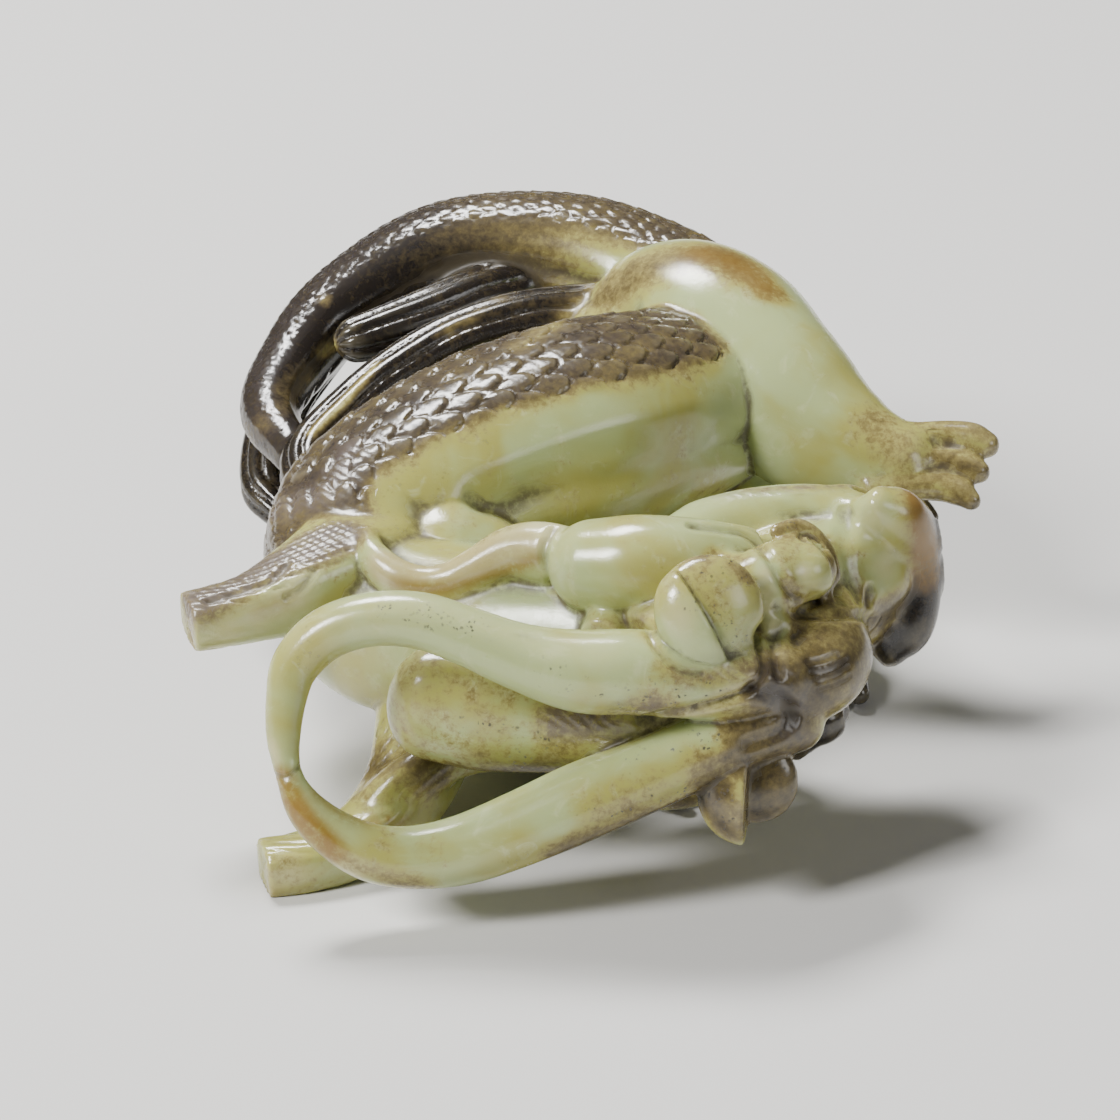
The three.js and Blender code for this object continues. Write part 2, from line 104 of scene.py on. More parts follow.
def form(name, stations, up=(0, 0, 1), tall=1.0, corners=2.0, rounded=(False, True), section=None,
         sides=40):
    """Roughs out one form: an object with a closed mesh, and its line kept for the engraving."""
    stations = np.asarray(stations, float)
    ups = np.asarray(up, float)
    if ups.ndim == 1:
        ups = np.tile(ups, (len(stations), 1))
    rings = 10 * (len(stations) - 1)
    places = np.linspace(0, 1, rings + 1)
    centre, slope = smooth_line(stations[:, :3], places)
    radius = smooth_line(stations[:, 3:], places)[0][:, 0]
    along = unit(slope)
    side = unit(np.cross(smooth_line(ups, places)[0], along))
    over = np.cross(along, side)
    length = np.concatenate([[0], np.cumsum(np.linalg.norm(np.diff(centre, axis=0), axis=1))])
    forms[name] = {
        "centre": centre, "along": along, "side": side, "over": over, "radius": radius,
        "length": length, "tall": tall, "corners": corners, "section": section,
    }

    angle = np.linspace(0, 2 * math.pi, sides, endpoint=False)
    c, s = np.cos(angle), np.sin(angle)
    reach = (abs(c) ** corners + abs(s) ** corners) ** (-1 / corners)
    if section:
        reach = reach * section(angle)
    steps = 8
    turn = np.linspace(0, math.pi / 2, steps + 1)[1:-1]
    plan = [(k, 0, 1) for k in range(rings + 1)]
    if rounded[0]:
        plan = [(0, -math.sin(a), math.cos(a)) for a in turn[::-1]] + plan
    if rounded[1]:
        plan = plan + [(rings, math.sin(a), math.cos(a)) for a in turn]
    points = []
    for k, past, wide in plan:
        middle = centre[k] + along[k] * past * radius[k]
        ring = np.outer(c * reach, side[k]) + np.outer(s * reach * tall, over[k])
        points.append(middle + ring * radius[k] * wide)
    points = np.concatenate(points)
    tips = [centre[0] - along[0] * radius[0] * rounded[0],
            centre[-1] + along[-1] * radius[-1] * rounded[1]]
    count = len(plan)
    k = np.arange(sides)
    following = (k + 1) % sides
    faces = []
    for ring in range(count - 1):
        a, b = ring * sides + k, ring * sides + following
        faces += np.stack([a, b, b + sides, a + sides], axis=1).tolist()
    start_tip, end_tip = len(points), len(points) + 1
    faces += [[start_tip, int(b), int(a)] for a, b in zip(k, following)]
    last = (count - 1) * sides
    faces += [[end_tip, int(last + a), int(last + b)] for a, b in zip(k, following)]
    mesh = bpy.data.meshes.new(name)
    mesh.from_pydata(np.vstack([points, tips]).tolist(), [], faces)
    rough = bpy.data.objects.new(name, mesh)
    bpy.context.scene.collection.objects.link(rough)


# The trunk runs from the neck round the bend at the shoulders and over the arched back into the
# tail. A low keel runs along the back, and a crease above the belly along each flank.
def near(angle, place, wide):
    off = np.arctan2(np.sin(angle - place), np.cos(angle - place)) / wide
    return np.exp(-off * off)


def trunk_section(angle):
    crease = math.radians(22.5)
    creases = near(angle, -crease, 0.16) + near(angle, math.pi + crease, 0.16)
    rolls = near(angle, -crease - 0.5, 0.3) + near(angle, math.pi + crease + 0.5, 0.3)
    return 1 + 0.05 * near(angle, math.pi / 2, 0.18) - 0.075 * creases + 0.02 * rolls


form("trunk", [
    [11.0, 16.8, 16.8, 5.0],
    [1.5, 21.6, 16.0, 5.8],
    [-6.0, 24.6, 14.8, 6.5],
    [-13.2, 28.4, 14.4, 7.3],
    [-14.6, 35.4, 17.0, 8.2],
    [-7.0, 41.6, 20.0, 8.7],
    [1.6, 46.4, 21.2, 8.8],
    [8.4, 51.6, 21.0, 8.0],
    [12.2, 57.6, 20.8, 7.2],
    [12.6, 64.0, 21.6, 6.4],
    [8.0, 69.4, 23.6, 5.7],
    [0.4, 72.6, 25.6, 5.0],
    [-9.6, 73.0, 25.4, 4.3],
    [-18.0, 69.6, 22.0, 3.5],
    [-22.0, 64.4, 19.2, 2.9],
    [-23.6, 58.2, 17.8, 2.4],
    [-21.4, 52.6, 16.8, 1.8],
], up=[
    [-0.5, -0.85, 0.1],
    [-0.5, -0.85, 0.2],
    [-0.5, -0.75, 0.4],
    [-0.8, -0.35, 0.5],
    [-0.8, 0.1, 0.6],
    [-0.5, 0.3, 0.85],
    [-0.3, 0.3, 0.9],
    [-0.2, 0.3, 0.9],
    [0.2, 0.3, 0.95],
    [0.3, 0.4, 0.87],
    [0.1, 0.5, 0.86],
    [0.0, 0.5, 0.86],
    [-0.3, 0.5, 0.8],
    [-0.6, 0.3, 0.7],
    [-0.8, 0.1, 0.6],
    [-0.8, -0.1, 0.5],
    [-0.8, -0.3, 0.5],
], section=trunk_section, sides=96)

# Two horns sweep back from between the ears, spread into a ring and meet tip to tip.
form("upper_horn", [
    [16.4, 10.2, 18.2, 2.6],
    [12.4, 8.6, 18.8, 2.95],
    [6.0, 8.0, 19.8, 3.15],
    [1.4, 8.0, 19.9, 3.05],
    [-2.9, 8.5, 20.8, 2.5],
    [-6.6, 9.1, 22.1, 2.2],
    [-10.3, 9.9, 23.1, 2.1],
    [-14.1, 10.3, 23.0, 2.0],
    [-17.4, 10.2, 21.8, 1.95],
    [-19.6, 9.6, 19.6, 1.8],
    [-20.3, 8.4, 17.3, 1.5],
    [-20.5, 7.2, 14.7, 1.25],
    [-20.2, 6.2, 12.3, 0.95],
], up=(0, 1, 0), rounded=(True, True))
form("lower_horn", [
    [17.4, 10.6, 14.4, 2.4],
    [14.0, 8.9, 14.6, 2.7],
    [6.5, 7.3, 11.6, 2.75],
    [1.9, 6.5, 9.9, 2.95],
    [-2.9, 5.6, 8.0, 2.8],
    [-7.1, 4.9, 6.6, 2.6],
    [-10.8, 4.4, 6.2, 2.35],
    [-14.0, 4.2, 6.7, 2.15],
    [-16.7, 4.4, 8.1, 1.85],
    [-18.7, 4.8, 9.9, 1.5],
    [-19.8, 5.6, 11.6, 1.1],
    [-20.2, 6.2, 12.9, 0.95],
], up=(0, 1, 0), rounded=(True, True))

# The head has its own frame: forward along the nose, sideways to the upper cheek, and out of the
# crown. It has a skull, a domed forehead, a muzzle, a jaw, a tongue and a beard, and on each side
# a jowl, a brow, a temple, an eye under its lid, a curled lip and a fang.
POLL = np.array([14.1, 9.1, 16.5])
FORWARD = unit(np.array([0.646, 0.751, 0.137]))
SIDEWAYS = np.array([-0.1, -0.095, 0.99])
SIDEWAYS = unit(SIDEWAYS - FORWARD * (SIDEWAYS @ FORWARD))
CROWN = np.cross(FORWARD, SIDEWAYS)


def in_head(stations):
    stations = np.asarray(stations, float)
    places = POLL + stations[:, :3] @ np.array([FORWARD, SIDEWAYS, CROWN])
    return np.hstack([places, stations[:, 3:]])


def knob(name, middle, reaches, axes=None, cut=None):
    """Rounds off a knob: a ball stretched along its axes, and cut through the middle if asked."""
    if axes is None:
        middle, axes = in_head([[*middle, 0]])[0, :3], [FORWARD, SIDEWAYS, CROWN]
    bpy.ops.mesh.primitive_uv_sphere_add(segments=48, ring_count=24, radius=1)
    rough = bpy.context.object
    rough.name = name
    stretch = Matrix([list(axis * reach) for axis, reach in zip(axes, reaches)]).transposed()
    rough.matrix_world = Matrix.Translation(Vector(middle)) @ stretch.to_4x4()
    bpy.ops.object.transform_apply(location=True, rotation=True, scale=True)
    if cut is not None:
        bpy.ops.object.mode_set(mode="EDIT")
        bpy.ops.mesh.select_all(action="SELECT")
        bpy.ops.mesh.bisect(plane_co=middle, plane_no=cut, use_fill=True, clear_outer=True)
        bpy.ops.object.mode_set(mode="OBJECT")
    forms[name] = {
        "middle": np.array(middle), "axes": np.array(axes), "reaches": np.array(reaches, float),
        "cut": cut,
    }


form("skull", in_head([
    [-2.0, 0, -7.6, 6.0],
    [2.0, 0, -6.4, 7.2],
    [6.0, 0, -5.8, 7.4],
    [10.0, 0, -5.8, 6.8],
    [14.0, 0, -5.6, 6.0],
    [18.0, 0, -5.0, 5.6],
    [21.0, 0, -4.8, 5.2],
]), up=CROWN, tall=0.74, corners=2.6, rounded=(False, True))
form("forehead", in_head([
    [1.5, 0, -1.2, 3.0],
    [4.6, 0, 0.4, 3.8],
    [7.8, 0, 0.5, 3.9],
    [10.8, 0, -1.6, 3.3],
    [14.5, 0, -2.8, 2.6],
    [19.0, 0, -2.8, 2.6],
]), up=CROWN, rounded=(True, True))
form("muzzle", in_head([
    [19.4, 6.2, -2.6, 1.7],
    [20.8, 4.8, -2.0, 2.3],
    [22.2, 2.2, -2.6, 2.7],
    [22.5, 0, -2.9, 2.8],
    [22.2, -2.2, -2.6, 2.7],
    [20.8, -4.8, -2.0, 2.3],
    [19.4, -6.2, -2.6, 1.7],
]), up=CROWN, rounded=(True, True))
form("jaw", in_head([
    [-3.0, 0, -11.6, 5.2],
    [2.0, 0, -13.4, 5.8],
    [8.0, 0, -14.6, 5.0],
    [13.0, 0, -14.8, 4.2],
    [17.0, 0, -13.8, 3.4],
]), up=CROWN, tall=0.42, corners=2.5)
form("tongue", in_head([
    [3.0, 0, -11.8, 2.6],
    [9.0, 0, -12.6, 2.4],
    [14.0, 0, -12.2, 1.7],
]), up=CROWN, tall=0.5)
form("beard", in_head([
    [14.5, 0, -15.6, 1.8],
    [11.0, 0, -18.0, 2.2],
    [6.0, 0, -18.8, 2.2],
    [1.0, 0, -18.0, 1.8],
    [-3.0, 0, -16.2, 1.2],
]), up=SIDEWAYS, tall=0.8)
for cheek, s in [("upper", 1), ("lower", -1)]:
    form(f"{cheek}_jowl", in_head([
        [4.0, 5.2 * s, -12.6, 2.2],
        [9.0, 5.2 * s, -13.2, 2.5],
        [13.0, 5.0 * s, -12.0, 2.5],
        [16.6, 4.8 * s, -9.4, 2.4],
        [19.4, 4.6 * s, -6.0, 2.2],
    ]), up=CROWN, rounded=(True, True))
    form(f"{cheek}_brow", in_head([
        [-2.0, 5.4 * s, -5.4, 1.7],
        [2.0, 6.7 * s, -4.2, 2.1],
        [5.6, 6.8 * s, -2.9, 2.5],
        [8.4, 6.4 * s, -2.4, 2.6],
        [11.0, 5.8 * s, -3.2, 2.2],
        [13.4, 4.8 * s, -4.4, 1.6],
    ]), up=CROWN)
    form(f"{cheek}_temple", in_head([
        [4.8, 7.4 * s, -5.6, 1.4],
        [5.4, 7.0 * s, -3.0, 1.8],
        [4.8, 5.0 * s, -1.3, 1.8],
        [3.8, 3.2 * s, -0.8, 1.6],
    ]), up=FORWARD, rounded=(True, True))
    knob(f"{cheek}_eye", [9.0, 6.4 * s, -1.4], [2.5, 2.3, 2.4])
    form(f"{cheek}_lid", in_head([
        [9.8, 4.0 * s, -0.2, 0.5],
        [11.6, 4.9 * s, -1.1, 0.8],
        [12.2, 6.6 * s, -2.4, 0.9],
        [11.4, 8.2 * s, -3.6, 0.8],
        [9.4, 8.9 * s, -4.2, 0.5],
    ]), up=CROWN, rounded=(True, True))
    form(f"{cheek}_lip", in_head([
        [15.0, 6.2 * s, -9.6, 1.0],
        [18.0, 5.8 * s, -8.0, 1.2],
        [21.0, 4.4 * s, -6.6, 1.4],
        [23.4, 2.0 * s, -6.0, 1.4],
    ]), up=CROWN)
    form(f"{cheek}_fang", in_head([
        [18.4, 3.9 * s, -8.4, 1.3],
        [18.6, 3.7 * s, -10.8, 1.0],
        [18.0, 3.5 * s, -12.8, 0.4],
    ]), up=FORWARD)


# Ears stand behind the horns. Each is a round button with a leaf lying over its outer half, cut
# off straight down the middle of the button.
def ear(name, middle, facing, crease, radius, leaf, shift):
    """`leaf` reaches out to its rim, down its straight edge and out of the button."""
    facing = unit(np.array(facing))
    down = np.array(crease)
    down = unit(down - facing * (down @ facing))
    rim = np.cross(down, facing)
    axes = np.array([rim, down, facing])
    knob(f"{name}_button", middle, [radius, radius, 0.46 * radius], axes)
    knob(f"{name}_leaf", np.array(middle) + np.array(shift) @ axes, leaf, axes, cut=-rim)


ear("upper_ear", [11.0, 9.5, 24.2], [0.15, -0.88, 0.42], [0.507, -0.378, -0.775], 4.1,
    [3.3, 4.0, 2.2], [0.9, 0, 0.7])
ear("lower_ear", [14.6, 8.3, 10.6], [-0.15, -0.93, 0.3], [-0.09, -0.43, -0.89], 3.2,
    [3.8, 3.9, 2.3], [0.4, 0.9, 1.1])

# Smooth locks of the mane: one between the horns, and one lying back from each cheek.
form("nape_lock", [
    [14.0, 10.6, 16.4, 1.8],
    [7.5, 11.0, 14.2, 2.2],
    [3.0, 11.8, 13.5, 2.7],
    [-1.5, 12.8, 13.5, 3.1],
    [-6.0, 13.4, 13.8, 3.4],
    [-9.8, 13.9, 14.2, 3.2],
], tall=1.4)
form("upper_cheek_lock", [
    [14.5, 19.6, 23.2, 2.6],
    [10.0, 18.0, 24.0, 3.3],
    [6.0, 17.8, 23.8, 3.8],
    [2.6, 18.6, 23.4, 3.5],
])
form("lower_cheek_lock", [
    [16.5, 19.0, 8.6, 2.6],
    [11.0, 17.6, 7.4, 3.3],
    [6.6, 17.4, 7.4, 3.7],
    [3.2, 18.2, 8.2, 3.4],
])

# Four legs: haunches and shoulders swell out of the trunk. The upper hind paw has four toes, the
# other paws have three, and all end in hooked claws.
form("upper_hind_leg", [
    [5.6, 60.4, 21.6, 5.8],
    [9.4, 61.2, 23.8, 7.4],
    [13.2, 58.2, 23.6, 7.6],
    [16.8, 54.0, 22.2, 6.6],
    [20.4, 50.8, 20.0, 5.7],
    [23.8, 48.6, 18.9, 4.5],
    [27.0, 47.0, 18.6, 3.3],
], rounded=(True, True), sides=64)
form("lower_hind_leg", [
    [6.0, 57.0, 14.5, 6.0],
    [10.0, 58.4, 11.0, 7.2],
    [13.8, 56.6, 8.2, 7.0],
    [16.8, 53.4, 6.0, 5.8],
    [18.8, 50.2, 4.4, 4.4],
    [19.8, 47.2, 3.2, 3.3],
    [20.2, 44.8, 2.8, 2.7],
], rounded=(True, True), sides=64)
form("upper_fore_leg", [
    [-9.0, 31.6, 17.0, 5.4],
    [-1.5, 31.2, 14.4, 4.2],
    [5.0, 33.4, 12.6, 3.2],
    [9.5, 33.2, 11.2, 2.6],
    [12.4, 31.6, 10.4, 2.3],
], rounded=(True, True))
form("lower_fore_leg", [
    [-8.0, 27.6, 9.5, 4.8],
    [-3.4, 28.6, 6.4, 4.3],
    [1.0, 29.6, 4.4, 3.3],
    [4.6, 29.2, 3.2, 2.7],
    [7.2, 27.8, 2.6, 2.3],
], rounded=(True, True))


def paw(name, wrist, reach, spread, hook, size):
    frame_of_paw = np.array([reach, spread, hook], float) * size

    def at(out, across, under, radius):
        return [*(np.array(wrist) + np.array([out, across, under]) @ frame_of_paw), radius * size]

    for toe, side in enumerate([-1, 0, 1]):
        form(f"{name}_toe_{toe + 1}", [
            at(-0.5, 0.5 * side, 0, 1.1),
            at(2.2, 1.6 * side, -0.3, 1.25),
            at(4.4, 1.9 * side, 0.9, 0.7),
        ], up=spread)


for toe, stations in enumerate([
    [[25.0, 48.6, 19.9, 1.9], [28.0, 47.8, 20.4, 1.35], [31.0, 47.9, 20.6, 1.2],
     [32.8, 47.5, 20.5, 1.3], [33.9, 47.0, 20.2, 1.1]],
    [[25.0, 46.6, 18.8, 1.9], [28.0, 46.0, 19.1, 1.3], [30.8, 46.0, 19.1, 1.15],
     [32.3, 45.7, 18.9, 1.2], [33.2, 45.2, 18.7, 1.0]],
    [[25.0, 44.9, 17.4, 1.7], [27.6, 44.3, 17.9, 1.25], [30.2, 44.3, 17.8, 1.15],
     [31.8, 43.8, 17.5, 1.1], [32.6, 43.2, 17.1, 0.8]],
    [[23.6, 47.4, 16.6, 1.6], [26.2, 46.8, 15.6, 1.3], [28.4, 46.6, 15.0, 1.1],
     [29.6, 46.2, 14.2, 0.7]],
]):
    form(f"upper_hind_toe_{toe + 1}", stations, rounded=(True, True))
paw("lower_hind", [20.2, 44.8, 2.4],
    [0.2, -0.96, -0.04], [0.96, 0.2, 0.1], [0.1, -0.3, -0.5], 1.3)
paw("upper_fore", [12.4, 31.6, 10.4],
    [0.85, -0.4, -0.3], [0.2, 0.2, 0.95], [0.5, -0.2, -0.6], 1.15)
paw("lower_fore", [7.2, 27.8, 2.4],
    [0.7, -0.7, -0.05], [0.7, 0.7, 0.1], [0.3, -0.3, -0.5], 1.15)

# Tufts combed to a square-cut end at the shoulders, and the ribbons that tie them to the cheeks.
form("upper_tuft", [
    [-12.0, 34.0, 17.2, 5.0],
    [-15.8, 28.8, 18.4, 4.5],
    [-19.6, 24.6, 18.6, 3.4],
    [-23.6, 21.8, 18.2, 2.5],
    [-28.2, 20.2, 17.8, 2.2],
], tall=0.95, corners=3, rounded=(False, False))
form("lower_tuft", [
    [-9.5, 25.5, 9.5, 4.4],
    [-11.4, 18.0, 5.4, 3.3],
    [-14.8, 13.6, 3.0, 2.6],
    [-18.8, 11.2, 2.2, 2.3],
    [-22.4, 10.2, 2.0, 2.2],
], tall=0.95, corners=3, rounded=(False, False))
form("upper_ribbon", [
    [-14.9, 27.0, 22.0, 0.8],
    [-14.3, 24.6, 21.2, 1.2],
    [-12.6, 22.9, 20.4, 1.3],
    [-10.6, 22.2, 20.0, 1.3],
    [-8.4, 21.9, 20.4, 1.3],
    [-6.2, 21.9, 21.5, 1.5],
    [-3.6, 22.0, 22.7, 1.9],
    [-0.8, 21.0, 23.2, 2.1],
    [3.0, 19.0, 23.4, 1.7],
], tall=1.15, rounded=(False, False))
form("lower_ribbon", [
    [-14.0, 14.6, 4.4, 1.8],
    [-11.4, 15.4, 6.6, 1.9],
    [-7.8, 17.4, 8.2, 1.8],
    [-3.2, 18.6, 8.0, 1.6],
    [4.0, 18.2, 8.0, 1.7],
], tall=1.15, rounded=(False, False))

# Flames of the tail, pierced between: two inside its curl, one down to the ground, one licking
# out past it.
form("knobbed_flame", [
    [-2.0, 71.0, 23.6, 2.8],
    [-7.4, 67.0, 23.8, 2.7],
    [-12.4, 63.8, 23.2, 2.4],
    [-16.6, 61.8, 22.8, 1.9],
])
form("clinging_flame", [
    [4.0, 64.0, 23.4, 3.4],
    [-4.0, 61.6, 24.2, 2.6],
    [-10.8, 58.4, 22.8, 2.4],
    [-16.6, 54.2, 20.2, 2.2],
    [-20.4, 49.2, 17.8, 2.0],
    [-19.6, 42.6, 16.4, 1.8],
])
form("hanging_flame", [
    [-9.0, 72.0, 21.0, 3.0],
    [-12.6, 70.0, 14.4, 3.0],
    [-16.2, 66.0, 8.6, 2.8],
    [-19.4, 61.0, 4.6, 2.5],
    [-20.8, 55.0, 2.6, 2.3],
    [-19.0, 50.2, 2.0, 2.0],
])
form("licking_flame", [
    [-19.0, 68.4, 20.0, 2.2],
    [-23.2, 66.0, 14.4, 2.2],
    [-24.4, 61.0, 10.2, 2.0],
    [-22.4, 57.8, 8.6, 1.5],
])

# The forms are one stone, so they are joined and remeshed into a single skin, and what lies below
# the ground flats is cut off.
FULL_GRAIN = 0.2
STONE_GRAIN = FULL_GRAIN
MOST_TRIANGLES = 196000

bpy.ops.object.select_all(action="DESELECT")
for name in forms:
    bpy.data.objects[name].select_set(True)
dragon = bpy.data.objects["trunk"]
bpy.context.view_layer.objects.active = dragon
bpy.ops.object.join()
dragon.name = "dragon_stone"
dragon.data.name = "dragon_stone"
remesh = dragon.modifiers.new("one_skin", "REMESH")
remesh.mode = "VOXEL"
remesh.voxel_size = STONE_GRAIN
bpy.ops.object.modifier_apply(modifier=remesh.name)


def read_points(mesh):
    points = np.empty(3 * len(mesh.vertices))
    mesh.vertices.foreach_get("co", points)
    return points.reshape(-1, 3)


def write_points(mesh, points):
    mesh.vertices.foreach_set("co", points.ravel())
    mesh.update()


def read_normals(mesh):
    normals = np.empty(3 * len(mesh.vertices))
    mesh.vertices.foreach_get("normal", normals)
    return normals.reshape(-1, 3)


def read_edges(mesh):
    edges = np.empty(2 * len(mesh.edges), np.int32)
    mesh.edges.foreach_get("vertices", edges)
    return edges.reshape(-1, 2)


def relax(values, edges, weight, times):
    """Evens values over the surface: each moves towards the mean of its neighbours'."""
    evened = np.array(values, float)
    weight = np.broadcast_to(np.asarray(weight, float), (len(evened),))
    used, ends = np.unique(edges[(weight[edges] > 0).any(1)], return_inverse=True)
    a, b = ends.reshape(-1, 2).T
    part = evened[used].reshape(len(used), -1)
    pull = weight[used, None]
    degree = np.bincount(np.concatenate([a, b]), minlength=len(used))[:, None]
    for _ in range(times):
        total = [np.bincount(a, column[b], len(used)) + np.bincount(b, column[a], len(used))
                 for column in part.T]
        part += pull * (np.stack(total, axis=1) / degree - part)
    evened[used] = part.reshape(evened[used].shape)
    return evened


def ramp(value, low, high):
    t = np.clip((value - low) / (high - low), 0, 1)
    return t * t * (3 - 2 * t)


BATCH = 20000  # points at a time


def lie_on(points, shape):
    """Where points lie on one form: how far out in mm, length along it and angle around it."""
    if "reaches" in shape:
        off = (points - shape["middle"]) @ shape["axes"].T / shape["reaches"]
        distance = (np.linalg.norm(off, axis=1) - 1) * shape["reaches"].min()
        if shape["cut"] is not None:
            distance = np.maximum(distance, (points - shape["middle"]) @ shape["cut"])
        size = np.full(len(points), shape["reaches"].mean())
        return distance, off[:, 2] * shape["reaches"][2], np.arctan2(off[:, 1], off[:, 0]), size
    centre, radius = shape["centre"], shape["radius"]
    nearest = np.empty(len(points), int)
    for start in range(0, len(points), BATCH):
        batch = points[start:start + BATCH]
        apart = ((batch[:, None, :] - centre[None, :, :]) ** 2).sum(2) / radius[None, :]
        nearest[start:start + BATCH] = apart.argmin(1)
    off = points - centre[nearest]
    x = (off * shape["side"][nearest]).sum(1)
    y = (off * shape["over"][nearest]).sum(1) / shape["tall"]
    past = (off * shape["along"][nearest]).sum(1)
    angle = np.arctan2(y, x)
    corners = shape["corners"]
    wide = (abs(x) ** corners + abs(y) ** corners) ** (1 / corners)
    if shape["section"]:
        wide = wide / shape["section"](angle)
    size = radius[nearest]
    beyond = ((nearest == 0) & (past < 0)) | ((nearest == len(centre) - 1) & (past > 0))
    distance = np.where(beyond, np.hypot(wide, past) - size, wide - size)
    return distance, shape["length"][nearest] + past, angle, size


AROUND_FORM = 1.5


def survey(points):
    """For each point its form, its place on that form, and how close the next form is."""
    best = np.full(len(points), np.inf)
    second = np.full(len(points), np.inf)
    owner = np.zeros(len(points), int)
    length, angle, size = (np.zeros(len(points)) for _ in range(3))
    for number, name in enumerate(forms):
        shape = forms[name]
        if "reaches" in shape:
            low = shape["middle"] - shape["reaches"].max() - AROUND_FORM
            high = shape["middle"] + shape["reaches"].max() + AROUND_FORM
        else:
            margin = shape["radius"].max() * 1.3 + AROUND_FORM
            low = shape["centre"].min(0) - margin
            high = shape["centre"].max(0) + margin
        inside = np.where(((points > low) & (points < high)).all(1))[0]
        distance, s, a, r = lie_on(points[inside], shape)
        nearer = distance < best[inside]
        second[inside] = np.where(nearer, best[inside], np.minimum(second[inside], distance))
        chosen = inside[nearer]
        best[chosen] = distance[nearer]
        owner[chosen] = number
        length[chosen], angle[chosen], size[chosen] = s[nearer], a[nearer], r[nearer]
    return {"owner": owner, "length": length, "angle": angle, "size": size, "gap": second - best}


def belongs(place, *names):
    """Which points lie on forms whose names hold any of these words."""
    numbers = [n for n, name in enumerate(forms) if any(word in name for word in names)]
    return np.isin(place["owner"], numbers)


# Where two forms meet, the stone is worn and polished to a soft hollow. The ears and the eyes
# stay crisp.
CRISP = ["leaf", "button", "eye", "lid"]
points = read_points(dragon.data)
edges = read_edges(dragon.data)
points = relax(points, edges, 0.5, 3)
place = survey(points)
meeting = (1 - ramp(place["gap"], 0.25, 1.6)) * np.where(belongs(place, *CRISP), 0.12, 1)
points = relax(points, edges, 0.5 * meeting, int(8 * (FULL_GRAIN / STONE_GRAIN) ** 2) + 2)
points = relax(points, edges, 0.3, 3)
points[:, 2] = np.maximum(points[:, 2], CARVING_MIDDLE[2])
write_points(dragon.data, points)


EYE_OF_CAMERA = camera.location * 1000 + Vector(CARVING_MIDDLE)
PICTURE_RIGHT, PICTURE_UP, PICTURE_BACK = camera.rotation_euler.to_matrix().transposed()
MARK_GAP = 60  # pixels
PIXELS_PER_MM = 20  # or fewer


def bare_stone():
    bpy.context.view_layer.update()
    return BVHTree.FromObject(dragon, bpy.context.evaluated_depsgraph_get())


def seen(stone, marks, apart):
    """Points of the stone behind a line of marks in the camera's picture, `apart` mm apart."""
    marks = np.array(marks, float)
    steps = max(2, int(len(marks) * MARK_GAP / (apart * PIXELS_PER_MM)))
    if len(marks) > 1:
        marks = smooth_line(marks, np.linspace(0, 1, steps * (len(marks) - 1)))[0]
    found = []
    for u, v in marks:
        right, up = (u - FRAME_PIXELS / 2), (FRAME_PIXELS / 2 - v)
        ray = PICTURE_RIGHT * right + PICTURE_UP * up - PICTURE_BACK * PIXELS_PER_SLOPE
        hit = stone.ray_cast(EYE_OF_CAMERA, ray.normalized())[0]
        if hit is not None:
            found.append(hit)
    return np.array(found)


def other_cheek(stone, line):
    """The same line on the head's other cheek."""
    in_frame = (line - POLL) @ np.array([FORWARD, SIDEWAYS, CROWN]).T
    mirrored = POLL + (in_frame * [1, -1, 1]) @ np.array([FORWARD, SIDEWAYS, CROWN])
    return np.array([stone.find_nearest(Vector(point))[0] for point in mirrored])


def how_far(points, line, most):
    """Distance in mm from each point to a line of points, and `most` where it is further."""
    distance = np.full(len(points), float(most))
    near_it = ((points > line.min(0) - most) & (points < line.max(0) + most)).all(1)
    chosen = np.where(near_it)[0]
    for start in range(0, len(chosen), BATCH):
        batch = chosen[start:start + BATCH]
        apart = ((points[batch][:, None, :] - line[None, :, :]) ** 2).sum(2).min(1)
        distance[batch] = np.minimum(np.sqrt(apart), most)
    return distance


# Long handling has worn some of these hollows nearly flat: under the eyes and along the cheeks.
stone = bare_stone()
handled = np.zeros(len(points))
for marks, width, both in [
    ([(780, 610), (800, 606), (830, 606), (862, 608), (878, 618)], 2.2, True),
    ([(672, 513), (705, 511), (740, 515), (762, 524)], 2.4, True),
    ([(842, 492), (854, 495), (852, 520)], 2.6, True),
    ([(750, 634), (760, 644), (774, 640)], 1.6, False),
    ([(856, 530), (852, 560), (862, 590)], 1.5, True),
]:
    line = seen(stone, marks, 0.4)
    for worn_line in [line, other_cheek(stone, line)] if both else [line]:
        across = how_far(points, worn_line, width)
        handled = np.maximum(handled, 1 - ramp(across, 0.4 * width, width))
points = relax(points, edges, 0.6 * handled, int(130 * (FULL_GRAIN / STONE_GRAIN) ** 2))
points[:, 2] = np.maximum(points[:, 2], CARVING_MIDDLE[2])
write_points(dragon.data, points)


# Scales are cut over the back in overlapping rows, from where it leaves the shoulders to the
# tail's tip. They stop above each smooth flank, and plain bands cross the belly.
def fish_scales(along, around):
    """Height from 0 to 1 of rows of overlapping scales, one unit long and one unit wide."""
    height = np.zeros(len(along))
    taken = np.zeros(len(along), bool)
    row = np.floor(along)
    for back_rows in [2, 1, 0]:
        line = row - back_rows
        shift = 0.5 * (line % 2)
        middle = np.round(around - shift) + shift
        x = (along - line) / 1.45
        y = (around - middle) / 0.62
        inside = (x * x + y * y < 1) & ~taken
        rim = np.sqrt(x * x + y * y)
        shell = 0.35 + 0.65 * x - 0.9 * np.clip(rim - 0.86, 0, 1) / 0.14 * 0.9
        height[inside] = shell[inside]
        taken |= inside
    return height


